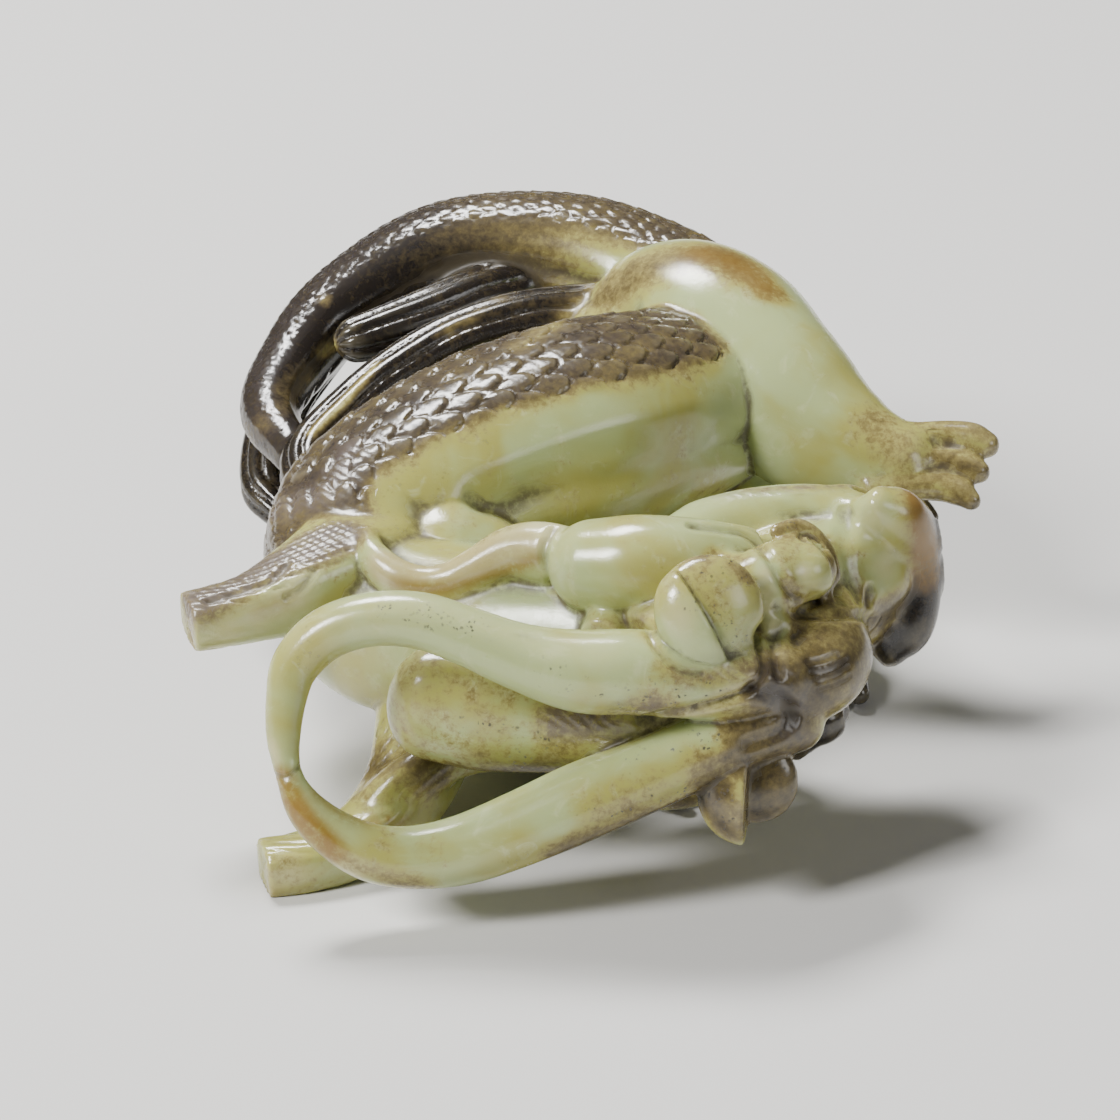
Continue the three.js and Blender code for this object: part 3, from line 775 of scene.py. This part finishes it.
SCALES_AROUND = 26
SCALE_DEPTH = 0.045
BELLY_BAND = 2.6
FIRST_SCALED_RING = 33
trunk = forms["trunk"]
pace = np.concatenate([[0], np.cumsum(np.diff(trunk["length"]) * 2 /
                                      (trunk["radius"][1:] + trunk["radius"][:-1]))])
scales_start = trunk["length"][FIRST_SCALED_RING]


def from_back(angle):
    """Degrees round the trunk from the ridge of its back."""
    return np.degrees(np.arctan2(np.cos(angle), np.sin(angle)))


def scaled_part(place):
    away = abs(from_back(place["angle"]))
    rows = 1 - ramp(away, 60, 65)
    return rows * ramp(place["length"], scales_start, scales_start + 2) * belongs(place, "trunk")


normals = read_normals(dragon.data)
place = survey(points)
alone = ramp(place["gap"], 0.15, 0.9)
height = np.zeros(len(points))

on = belongs(place, "trunk")
away = from_back(place["angle"][on])
steps = np.interp(place["length"][on], trunk["length"], pace) * SCALES_AROUND / (2 * math.pi)
scales = fish_scales(steps, away / 360 * SCALES_AROUND)
height[on] += (scales - 0.4) * scaled_part(place)[on] * SCALE_DEPTH * place["size"][on]
bands = 1 - abs(np.sin(math.pi * place["length"][on] / BELLY_BAND)) ** 0.35
height[on] -= 0.25 * bands * ramp(abs(away), 142, 152)


def comb(name, lines, depth):
    """Hair lines along a form, cut as V-shaped grooves round it."""
    on = belongs(place, name)
    wander = 0.15 * np.sin(place["length"][on] * 0.8)
    groove = 1 - np.sqrt(abs(np.sin(place["angle"][on] * lines / 2 + wander)))
    height[on] -= depth * groove


def comb_faces(name, apart, depth):
    """Hair lines that slant over the top and the underside of a square-cut tuft."""
    on = belongs(place, name)
    across = np.cos(place["angle"][on]) * place["size"][on] + 0.3 * place["length"][on]
    groove = 1 - np.sqrt(abs(np.sin(math.pi * across / apart)))
    height[on] -= depth * groove * ramp(abs(np.sin(place["angle"][on])), 0.6, 0.75)


comb_faces("upper_tuft", 0.6, 0.16)
comb_faces("lower_tuft", 0.85, 0.15)
comb("flame", 8, 0.35)
comb("beard", 12, 0.35)
points = points + normals * (height * alone)[:, None]
write_points(dragon.data, points)

# Fine lines are incised with a graver. Those on the side that the camera sees are given as marks
# in its picture and thrown onto the stone; a line of the face is cut on both cheeks.
cuts = []
stone = bare_stone()
for marks, width, depth, both in [
    ([(692, 526), (720, 530), (745, 535), (763, 550), (776, 571), (786, 588), (797, 601)],
     0.4, 0.3, True),
    ([(640, 717), (680, 710), (720, 700), (752, 686)], 0.5, 0.25, False),
    ([(820, 546), (832, 562), (834, 582), (824, 598), (803, 606)], 0.4, 0.25, True),
    ([(778, 608), (797, 614), (825, 617), (852, 616), (872, 622)], 0.5, 0.3, True),
    ([(784, 622), (776, 636), (773, 652), (778, 674)], 0.5, 0.2, False),
    ([(811, 672), (828, 668), (846, 659)], 0.22, 0.12, False),
    ([(818, 679), (833, 675), (849, 666)], 0.22, 0.12, False),
    ([(806, 662), (822, 660), (838, 654)], 0.22, 0.1, False),
    ([(820, 689), (838, 683), (850, 676)], 0.22, 0.1, False),
    ([(754, 640), (762, 656), (764, 668), (757, 682), (742, 694), (722, 702), (695, 710)],
     0.35, 0.3, False),
    ([(752, 691), (770, 694), (785, 704), (790, 718), (782, 732), (766, 739), (748, 744)],
     0.6, 0.3, False),
    ([(648, 632), (655, 648), (668, 663), (684, 672), (700, 674)], 0.3, 0.2, False),
    ([(848, 515), (844, 545), (848, 575), (858, 600)], 0.7, 0.2, True),
    ([(208, 602), (240, 592), (268, 583), (286, 566)], 0.35, 0.3, False),
    ([(286, 598), (302, 588), (314, 572)], 0.3, 0.2, False),
    ([(553, 530), (545, 548), (546, 566), (552, 584)], 0.4, 0.25, False),
    ([(480, 497), (540, 476), (600, 455), (650, 443), (694, 432)], 1.3, 0.3, False),
    ([(275, 774), (284, 777), (294, 773), (301, 765)], 0.22, 0.16, False),
]:
    line = seen(stone, marks, 0.2)
    lines = [line, other_cheek(stone, line)] if both else [line]
    cuts += [(cut, width, depth) for cut in lines]


def on_head(stone, marks):
    """Points of the stone nearest to a line of marks in the head's frame."""
    line = smooth_line(marks, np.linspace(0, 1, 12 * len(marks)))[0]
    line = POLL + line @ np.array([FORWARD, SIDEWAYS, CROWN])
    return np.array([stone.find_nearest(Vector(point))[0] for point in line])


# The front of the face: nostrils and their wings, the edge of the nose, lip, teeth and pupils.
turn = np.linspace(0, 2 * math.pi, 9)
pupil = np.array([10.6, 8.0, -1.7]) + 0.95 * np.stack(
    [0.8 * np.cos(turn), -0.6 * np.cos(turn), np.sin(turn)], axis=1)
for marks, width, depth in [
    ([(25.0, 1.6, -0.9), (25.0, 2.3, -1.3), (24.6, 3.0, -2.0)], 0.6, 1.1),
    ([(25.0, 1.8, -1.0), (24.6, 2.9, -1.9)], 0.3, 0.7),
    ([(24.4, 3.7, -1.2), (24.0, 4.5, -2.2), (24.0, 4.5, -3.2), (24.5, 3.5, -4.2)], 0.4, 0.45),
    ([(25.4, 0, -4.7), (24.6, 2.2, -5.3), (22.8, 4.8, -5.4), (21.6, 6.0, -5.6)], 0.6, 0.6),
    ([(25.6, 0, -4.7), (25.4, 0, -7.0)], 0.4, 0.4),
    ([(25.0, 0, -7.3), (23.8, 3.2, -7.7), (21.8, 5.8, -8.8)], 0.4, 0.5),
    ([(24.6, 0.8, -7.4), (24.0, 0.8, -9.0)], 0.25, 0.3),
    ([(24.2, 2.2, -7.6), (23.6, 2.2, -9.2)], 0.25, 0.3),
    (pupil, 0.25, 0.3),
    ([(10.5, 8.0, -1.6), (10.7, 7.9, -1.8)], 0.4, 0.4),
]:
    line = on_head(stone, np.array(marks, float))
    cuts += [(line, width, depth), (other_cheek(stone, line), width, depth)]
height = np.zeros(len(points))
for line, width, depth in cuts:
    across = how_far(points, line, 3 * width) / width
    groove = np.exp(-across * across)
    lip = np.exp(-((across - 1.7) / 0.6) ** 2)
    height += depth * (0.25 * lip - groove)
height = relax(height, edges, 0.4, 2)
points = points + read_normals(dragon.data) * height[:, None]
points[:, 2] = np.maximum(points[:, 2], CARVING_MIDDLE[2])
write_points(dragon.data, points)

dragon.data.calc_loop_triangles()
triangles = len(dragon.data.loop_triangles)
if triangles > MOST_TRIANGLES:
    thin = dragon.modifiers.new("thin_out", "DECIMATE")
    thin.ratio = MOST_TRIANGLES / triangles
    bpy.ops.object.modifier_apply(modifier=thin.name)
bpy.ops.object.shade_smooth()

# The pebble's green stone shows through on the flanks, horns and cheeks. Its brown skin was left
# on the back, the tail, the crown and the snout, and dirt has settled in the hollows. Painted
# shade and painted highlights are laid over these. How much of each lies where is kept as coats:
# one for the skin, from green to black-brown, which also carries painted shade on parts turned
# from the light; one for cream, for pale bands and painted highlights; honey for rusty stains;
# grey for rubbed skin; specks; one for dirt and painted shade in the hollows; and worn for bare
# ridges.
points = read_points(dragon.data)
edges = read_edges(dragon.data)
place = survey(points)
stone = bare_stone()
SKIN_OF = {
    "trunk": 0.16, "horn": 0.08, "skull": 0.24, "forehead": 0.36, "muzzle": 0.26, "jaw": 0.2,
    "tongue": 0.3, "beard": 0.4, "brow": 0.34, "temple": 0.22, "eye": 0.12, "lid": 0.42,
    "lip": 0.34, "fang": 0.12, "button": 0.34, "leaf": 0.18, "nape": 0.28,
    "cheek_lock": 0.14, "hind_leg": 0.12, "fore_leg": 0.2, "toe": 0.42, "tuft": 0.22,
    "ribbon": 0.28, "flame": 0.95,
}
skin = np.zeros(len(points))
for word, value in SKIN_OF.items():
    skin[belongs(place, word)] = value
TAIL_DARKENS = trunk["length"][[95, 125]]
scaly = scaled_part(place)
tailward = ramp(place["length"], *TAIL_DARKENS) * belongs(place, "trunk")
skin = np.maximum(skin, 0.74 * scaly)
skin = np.maximum(skin, 0.98 * tailward)
skin = relax(skin, edges, 0.5, 12)
coats = {
    "skin": skin, "cream": np.zeros(len(points)), "grey": 0.2 * relax(scaly, edges, 0.5, 8),
    "honey": np.zeros(len(points)), "specks": np.zeros(len(points)),
}


def paint(coat, value, radius, *marks, flow=0.9, soft=0.6):
    """Brushes a coat towards a value, over a line of marks in the camera's picture."""
    line = seen(stone, marks, radius)
    if len(line):
        across = how_far(points, line, radius) / radius
        cover = flow * (1 - ramp(across, 1 - soft, 1))
        coats[coat] += (value - coats[coat]) * cover


def wash(coat, value, radius, *marks, flow=0.9):
    """Brushes a coat on with an edge that fades from the middle of the stroke."""
    paint(coat, value, radius, *marks, flow=flow, soft=1)


# muzzle, lips and crown
paint("skin", 0.06, 2.8, (872, 520), (885, 570))
wash("cream", 0.6, 2.4, (872, 520), (886, 565))
paint("skin", 0.12, 3.0, (700, 515), (760, 508), (840, 515))
paint("honey", 1.0, 2.2, (920, 503), (927, 540), (928, 572), flow=1)
# The rim, the lips and the underside of the snout are painted near black: brown skin and rust,
# and painted shade where the snout is turned from the light.
paint("skin", 0.7, 2.4, (924, 505), (933, 540), (935, 578))
paint("skin", 1.0, 1.8, (938, 520), (942, 555), (938, 590))
paint("skin", 1.0, 2.6, (926, 600), (944, 615), (938, 645))
paint("skin", 1.0, 3.6, (925, 660), (905, 660), (880, 690), (862, 700))
wash("skin", 0.8, 3.2, (884, 618), (895, 640), flow=0.85)
# The lower eye and brow, on the side turned from the light, are painted black-brown: painted
# shade.
paint("skin", 1.0, 3.6, (866, 700), (846, 730), (820, 745), (835, 765))
wash("skin", 0.5, 5.0, (800, 632), (830, 640), (858, 645))
wash("skin", 0.62, 3.6, (812, 675), (845, 690), (872, 655), flow=0.8)
wash("skin", 0.86, 0.8, (806, 664), (826, 672), (850, 660), flow=0.7)
# More painted shade under the snout, over its dark skin.
paint("skin", 1.0, 2.8, (934, 600), (918, 636), (900, 654))
wash("skin", 0.8, 4.8, (780, 685), (794, 715), (765, 735), flow=0.85)
wash("skin", 0.95, 2.0, (768, 668), (780, 700), (790, 728), flow=0.8)
wash("skin", 1.0, 1.4, (752, 690), (778, 700), (790, 720), (776, 738), flow=0.8)
wash("grey", 0.3, 3.4, (765, 665), (785, 690), (795, 740))
wash("grey", 0.7, 1.4, (720, 494), (780, 488), (840, 486))
wash("skin", 0.46, 1.0, (700, 492), (770, 488), (840, 486), flow=0.7)
# The snout's dark skin and its painted shade go on over its front, which is hidden from the
# camera.
toward_camera = (EYE_OF_CAMERA - Vector(POLL)).normalized()
snout_end = ramp((points - POLL) @ FORWARD, 19.5, 22.5)
snout_end[~belongs(place, "muzzle", "skull", "lip", "jowl", "fang")] = 0
hidden = np.zeros(len(points))
just_outside = points + 0.1 * read_normals(dragon.data)
for number in np.where(snout_end > 0)[0]:
    hidden[number] = stone.ray_cast(Vector(just_outside[number]), toward_camera)[0] is not None
coats["skin"] = np.maximum(coats["skin"], 0.78 * relax(hidden * snout_end, edges, 0.5, 12))
# eye and brow
wash("skin", 0.56, 2.0, (830, 550), (838, 580), (818, 602), flow=0.8)
wash("skin", 0.52, 2.0, (785, 600), (840, 604), flow=0.7)
# The upper eye is painted pale cream where light glints on its bulge: a painted highlight.
paint("skin", 0.08, 1.3, (806, 572))
wash("cream", 0.9, 1.2, (804, 572))
# A pale cream stripe down the ridge beside the eye is a painted highlight.
paint("skin", 0.08, 1.4, (767, 572), (771, 600), (778, 628))
wash("cream", 0.8, 1.4, (765, 575), (774, 625))
wash("skin", 0.4, 1.2, (790, 536), (812, 545), flow=0.7)
# upper ear
paint("skin", 0.16, 3.6, (735, 575), (748, 610), (735, 640), soft=0.8)
paint("skin", 0.06, 3.0, (678, 620))
wash("cream", 0.7, 2.2, (680, 618))
wash("skin", 0.58, 1.0, (735, 566), (752, 580), flow=0.7)
wash("skin", 0.5, 0.8, (690, 560), (715, 554), (742, 562), flow=0.7)
wash("skin", 0.5, 1.4, (660, 668), (700, 680), (745, 668), flow=0.7)
wash("grey", 0.5, 2.4, (690, 680), (740, 672), (755, 650))
# lower ear
# The lower ear is painted dark: its brown skin, and painted shade on the side turned from the
# light.
paint("skin", 0.7, 4.0, (765, 770), (762, 800), (785, 760))
wash("skin", 0.48, 3.4, (728, 790))
wash("skin", 0.8, 1.5, (706, 790), (716, 818), (732, 834), flow=0.8)
wash("skin", 0.66, 1.6, (738, 756), (748, 770), flow=0.8)
# A paler stripe down the leaf is a painted highlight.
wash("skin", 0.14, 0.9, (738, 784), (740, 800), flow=0.8)
# horns
# A pale line along the top edge of the lower horn is a painted highlight.
wash("cream", 0.8, 1.3, (648, 730), (690, 712), (735, 690))
wash("skin", 0.5, 1.6, (655, 716), (700, 708), (740, 700), flow=0.5)
wash("grey", 0.6, 1.6, (645, 722), (700, 708))
wash("skin", 0.36, 1.0, (645, 636), (672, 668), flow=0.7)
wash("cream", 0.3, 2.4, (300, 640), (420, 610), (540, 640), (600, 650))
wash("skin", 0.74, 2.6, (560, 852), (600, 836), (655, 812), (710, 788))
wash("skin", 0.42, 3.4, (600, 815), (640, 796), (700, 768), flow=0.7)
wash("skin", 0.66, 2.6, (735, 724), (770, 718), (712, 772), flow=0.75)
paint("honey", 1.0, 1.8, (280, 782), (288, 800), (305, 824), (330, 850))
wash("honey", 0.7, 1.6, (318, 796), (350, 818), (400, 826))
wash("skin", 0.4, 1.6, (288, 800), (318, 840), (350, 862), (395, 878), flow=0.8)
wash("skin", 0.5, 2.2, (400, 884), (450, 890), (510, 878), (580, 842), flow=0.85)
wash("skin", 0.34, 3.0, (385, 835), (430, 850), flow=0.7)
wash("cream", 0.8, 0.9, (276, 762), (272, 745))
# mane and cheek
wash("skin", 0.52, 1.6, (428, 760), (480, 770), (545, 768), flow=0.8)
wash("skin", 0.34, 2.4, (395, 690), (405, 735), flow=0.7)
wash("skin", 0.5, 3.0, (560, 722), (610, 716), (660, 704), flow=0.85)
wash("skin", 0.4, 3.0, (480, 755), (560, 745), flow=0.6)
wash("grey", 1.0, 2.2, (555, 722), (600, 716), (645, 708))
wash("skin", 0.4, 1.4, (556, 592), (600, 622), (640, 625), flow=0.7)
wash("grey", 0.5, 1.2, (622, 622), (645, 612))
# The shoulder seen through the horn ring is painted dark brown: brown skin, and painted shade on
# its underside.
wash("skin", 0.74, 3.2, (340, 700), (372, 720), flow=0.8)
wash("skin", 0.7, 3.4, (345, 800), (390, 755), (430, 770), flow=0.8)
# ribbon and tufts
paint("skin", 0.06, 2.2, (385, 565), (450, 575), (520, 545), (545, 530))
paint("cream", 1.0, 2.2, (385, 565), (450, 565), (520, 540), (545, 525))
paint("honey", 0.4, 2.2, (385, 565), (450, 570), (520, 545))
wash("honey", 0.9, 1.0, (395, 584), (440, 589), (500, 573), (535, 560))
paint("skin", 0.1, 3.0, (220, 635), (280, 625), (300, 600))
wash("cream", 0.75, 2.6, (230, 630), (290, 600), (300, 575))
paint("skin", 0.66, 3.0, (198, 598), (235, 582), (270, 566), (305, 550), (340, 534), soft=0.8)
paint("grey", 1.0, 3.0, (200, 598), (235, 582), (270, 566), (305, 550), (335, 536))
wash("honey", 0.9, 1.2, (190, 612), (192, 650))
wash("honey", 0.4, 1.6, (262, 610), (285, 598))
wash("cream", 0.7, 2.2, (290, 872), (350, 870))
wash("honey", 0.5, 1.2, (268, 892), (300, 904), (380, 902))
# back and haunch
wash("skin", 0.5, 1.8, (590, 370), (650, 345), (690, 345), flow=0.5)
wash("skin", 0.3, 2.2, (520, 345), (580, 312), (640, 285))
wash("skin", 0.86, 3.4, (310, 480), (360, 440), (410, 402))
wash("skin", 0.6, 2.4, (290, 515), (330, 500), flow=0.8)
wash("grey", 0.9, 2.4, (275, 510), (320, 495), (350, 450))
wash("skin", 0.6, 4.4, (605, 285), (645, 268), (690, 256), (722, 262), flow=0.85)
wash("skin", 0.6, 2.8, (720, 254), (755, 274), (770, 290), flow=0.85)
wash("honey", 0.7, 3.6, (705, 254), (740, 264), (765, 284))
wash("skin", 0.06, 3.0, (725, 325), (735, 365))
paint("skin", 0.06, 3.5, (600, 415), (480, 450), (400, 500), soft=0.8)
wash("skin", 0.2, 2.0, (560, 500), (700, 470))
wash("skin", 0.46, 4.4, (880, 425), (905, 450), (925, 475), flow=0.8)
# The paw is painted darker under the lower toe and between the toes, as painted shade, and paler
# along the upper toe, as a painted highlight.
wash("skin", 0.7, 1.0, (930, 505), (985, 507))
wash("skin", 0.62, 0.8, (935, 455), (985, 470))
wash("skin", 0.3, 1.0, (960, 436), (985, 445))
# tail
wash("skin", 0.68, 2.4, (250, 440), (282, 402), (310, 378))
wash("cream", 0.9, 0.8, (312, 432), (345, 400), (375, 365))
wash("skin", 0.18, 0.9, (312, 432), (345, 400), (375, 365))
wash("skin", 0.25, 1.1, (320, 352), (335, 345))
wash("skin", 0.35, 1.1, (325, 300))
wash("skin", 0.4, 1.2, (545, 240))
wash("skin", 0.55, 1.5, (500, 300), (450, 330))
# black specks
for marks in [
    [(545, 672), (560, 680)], [(600, 692), (625, 703)], [(655, 690), (692, 700)],
    [(700, 690), (716, 692)], [(684, 566), (700, 562), (745, 572)], [(484, 728), (552, 740)],
    [(600, 815), (650, 800), (695, 790)], [(640, 760), (700, 745)], [(690, 745), (720, 735)],
    [(715, 790), (735, 830)], [(756, 765), (785, 780)], [(796, 530), (810, 545)],
    [(350, 600), (470, 625)], [(690, 600), (740, 640)], [(440, 700), (520, 760)],
]:
    paint("specks", 1.0, 1.5, *marks)

# Dirt and painted shade: the stone is painted umber in its hollows, fine and broad, as dirt
# settled there and as the shade that falls in them.
cavity = ((relax(points, edges, 0.6, 8) - points) * read_normals(dragon.data)).sum(1)
deep = ((relax(points, edges, 0.6, 50) - points) * read_normals(dragon.data)).sum(1)
coats["dirt"] = np.clip(ramp(cavity, 0.015, 0.11) + 0.8 * ramp(deep, 0.08, 0.5), 0, 1)
# A fine line is painted darker than a wide one: dirt held in it, and painted shade.
for line, width, depth in cuts:
    across = how_far(points, line, 2 * width) / width
    dirt = 1.6 * (0.7 - width) * np.exp(-across * across)
    coats["dirt"] = np.maximum(coats["dirt"], dirt)
paint("dirt", 0, 2.4, (880, 536), (906, 562))
coats["worn"] = ramp(-cavity, 0.06, 0.2)
for coat, values in coats.items():
    layer = dragon.data.attributes.new(coat, "FLOAT", "POINT")
    layer.data.foreach_set("value", values.astype(np.float32))
write_points(dragon.data, (points - CARVING_MIDDLE) * 0.001)


class Strand:
    """A socket of the jade's shader, with sums and products as Math nodes."""

    def __init__(self, paints, socket):
        self.paints, self.socket = paints, socket

    def math(self, operation, *others, clamp=False):
        values = {number: other for number, other in enumerate(others, 1)}
        node_settings = {"operation": operation, "use_clamp": clamp}
        return self.paints.node("ShaderNodeMath", node_settings, {0: self, **values})

    def __add__(self, other):
        return self.math("ADD", other)

    def __sub__(self, other):
        return self.math("SUBTRACT", other)

    def __rsub__(self, other):
        return self.paints.node("ShaderNodeMath", {"operation": "SUBTRACT"}, {0: other, 1: self})

    def __mul__(self, other):
        return self.math("MULTIPLY", other)

    def clamped(self):
        return self.math("ADD", 0.0, clamp=True)

    __radd__ = __add__


class Paints:
    """Adds nodes to one material."""

    def __init__(self, tree):
        self.tree = tree

    def node(self, kind, settings, inputs, output=0):
        made = self.tree.nodes.new(kind)
        for key, value in settings.items():
            if key == "stops":
                ramp_stops = made.color_ramp.elements
                while len(ramp_stops) < len(value):
                    ramp_stops.new(0.5)
                for stop, (position, colour) in zip(ramp_stops, value):
                    stop.position = position
                    stop.color = (*colour, 1)
            else:
                setattr(made, key, value)
        for key, value in inputs.items():
            if isinstance(value, Strand):
                self.tree.links.new(value.socket, made.inputs[key])
            else:
                made.inputs[key].default_value = value
        return Strand(self, made.outputs[output])

    def coat(self, name):
        return self.node("ShaderNodeAttribute", {"attribute_name": name}, {}, "Fac")

    def noise(self, place, size, detail=3.0, rough=0.5, bent=0.0):
        return self.node("ShaderNodeTexNoise", {}, {
            "Vector": place, "Scale": 1 / size, "Detail": detail, "Roughness": rough,
            "Distortion": bent,
        })

    def between(self, value, low, high):
        return self.node("ShaderNodeMapRange", {"interpolation_type": "SMOOTHSTEP"}, {
            "Value": value, "From Min": low, "From Max": high,
        })

    def mix(self, amount, under, over):
        return self.node("ShaderNodeMix", {"data_type": "RGBA"}, {
            0: amount, 6: under, 7: over,
        }, 2)


jade = bpy.data.materials.new("jade")
jade.use_nodes = True
paints = Paints(jade.node_tree)
surface = jade.node_tree.nodes["Principled BSDF"]
in_metres = paints.node("ShaderNodeTexCoord", {}, {}, "Object")
spot = paints.node("ShaderNodeVectorMath", {"operation": "SCALE"}, {0: in_metres, "Scale": 1000})

skin_and_shade_coat, cream_and_highlight_coat, grey_coat, honey_coat, speck_coat, hollow_dirt_and_shade_coat, worn_coat = (
    paints.coat(name) for name in ["skin", "cream", "grey", "honey", "specks", "dirt", "worn"])
clouds = paints.noise(spot, 9.0, 3, 0.55, 0.4)
wisps = paints.noise(spot, 2.6, 4, 0.6, 1.2)
grain = paints.noise(spot, 0.5, 4, 0.68, 0.3)
pits = paints.noise(spot, 0.18, 3, 0.6)

# green stone, from bluish to yellowish, with paler wisps
green = paints.mix(paints.between(clouds + skin_and_shade_coat * 0.9, 0.5, 0.78),
                   (0.39, 0.45, 0.20, 1), (0.355, 0.34, 0.09, 1))
green = paints.mix(paints.between(wisps, 0.54, 0.72) * 0.4, green, (0.55, 0.58, 0.33, 1))
# pale cream bands, and painted highlights
green = paints.mix(cream_and_highlight_coat * 0.75, green, (0.60, 0.53, 0.28, 1))
# skin and painted shade, from honey over olive brown to black-brown
depth = skin_and_shade_coat + (wisps - 0.5) * 0.42 + (grain - 0.5) * 0.6 + (clouds - 0.5) * 0.25
rust = paints.node("ShaderNodeValToRGB", {"stops": [
    (0.20, (0.36, 0.33, 0.12)), (0.38, (0.25, 0.205, 0.07)), (0.56, (0.13, 0.1, 0.038)),
    (0.76, (0.055, 0.041, 0.02)), (0.96, (0.012, 0.009, 0.007)),
]}, {"Fac": depth})
colour = paints.mix(paints.between(depth, 0.18, 0.42), green, rust)
colour = paints.mix((honey_coat * paints.between(wisps + grain, 0.45, 1.05)).clamped() * 0.95,
                    colour, (0.22, 0.116, 0.01, 1))
# worn skin is lilac-grey, dirt and painted shade in the hollows are umber, and worn ridges are
# paler
colour = paints.mix((grey_coat * paints.between(wisps + grain, 0.6, 1.1)).clamped() * 0.8,
                    colour, (0.14, 0.112, 0.098, 1))
colour = paints.mix((hollow_dirt_and_shade_coat * paints.between(grain + wisps, 0.55, 1.15) * 0.85).clamped(),
                    colour, (0.06, 0.045, 0.02, 1))
colour = paints.mix(worn_coat * 0.12, colour, (0.55, 0.48, 0.30, 1))
# black specks, in clusters
bent_spot = paints.node("ShaderNodeVectorMath", {"operation": "ADD"}, {
    0: spot, 1: paints.node("ShaderNodeVectorMath", {"operation": "SCALE"}, {
        0: paints.node("ShaderNodeTexNoise", {}, {"Vector": spot, "Scale": 4.0}, "Color"),
        "Scale": 0.35,
    }),
})
speck = paints.node("ShaderNodeTexVoronoi", {}, {"Vector": bent_spot, "Scale": 2.4}, "Distance")
clusters = paints.between(paints.noise(spot, 1.3, 2, 0.5), 0.48, 0.56)
strength = (speck_coat + paints.between(clouds, 0.6, 0.7) * 0.35).clamped()
specks = (1 - paints.between(speck, 0.18, 0.36)) * clusters * strength
colour = paints.mix(specks.clamped() * 0.9, colour, (0.02, 0.015, 0.012, 1))
jade.node_tree.links.new(colour.socket, surface.inputs["Base Color"])

roughness = 0.15 + grain * 0.08 + hollow_dirt_and_shade_coat * 0.28 + specks * 0.3 + grey_coat * 0.1
jade.node_tree.links.new(roughness.clamped().socket, surface.inputs["Roughness"])
strokes = paints.node("ShaderNodeTexWave", {"bands_direction": "DIAGONAL"}, {
    "Vector": spot, "Scale": 0.55, "Distortion": 2.0, "Detail": 1.0, "Detail Scale": 1.5,
}, "Fac")
bump = paints.node("ShaderNodeBump", {}, {
    "Strength": 0.35, "Distance": 0.00006,
    "Height": grain * 0.6 + pits * 0.4 + strokes * grey_coat * 1.6,
})
jade.node_tree.links.new(bump.socket, surface.inputs["Normal"])
surface.inputs["IOR"].default_value = 1.61
surface.inputs["Subsurface Weight"].default_value = 0.3
surface.inputs["Subsurface Radius"].default_value = (1.0, 0.9, 0.45)
surface.inputs["Subsurface Scale"].default_value = 0.0014
dragon.data.materials.clear()
dragon.data.materials.append(jade)
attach(dragon, "root")
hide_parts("dragon")

# A plain pale floor, wide enough to fill the picture behind the carving. It is the stage and not
# a part of the carving.
bpy.ops.mesh.primitive_plane_add(size=6, location=(0, 0, 0))
floor = bpy.context.object
floor.name = "pale_floor"
paper = bpy.data.materials.new("pale_paper")
paper.use_nodes = True
sheet = paper.node_tree.nodes["Principled BSDF"]
sheet.inputs["Base Color"].default_value = (0.62, 0.61, 0.59, 1)
sheet.inputs["Roughness"].default_value = 0.8
floor.data.materials.append(paper)


# Plain soft studio light: a lamp overhead and behind, one from the left that draws the gloss
# along the horns, and a weak one from the right that opens the shadows.
def soft_light(name, place, size, power):
    light = bpy.data.lights.new(name, "AREA")
    light.shape = "RECTANGLE"
    light.size, light.size_y = size
    light.energy = power
    lamp = bpy.data.objects.new(name, light)
    lamp.location = place
    lamp.rotation_euler = (-Vector(place)).to_track_quat("-Z", "Y").to_euler()
    bpy.context.scene.collection.objects.link(lamp)


soft_light("overhead_light", (-0.15, 0.25, 0.55), (0.22, 0.15), 6.6)
soft_light("left_light", (-0.45, -0.3, 0.5), (0.16, 0.22), 7.0)
soft_light("right_light", (0.6, -0.4, 0.4), (0.3, 0.3), 1.2)
world = bpy.data.worlds.new("studio")
world.use_nodes = True
world.node_tree.nodes["Background"].inputs["Color"].default_value = (0.75, 0.75, 0.75, 1)
world.node_tree.nodes["Background"].inputs["Strength"].default_value = 0.12
bpy.context.scene.world = world
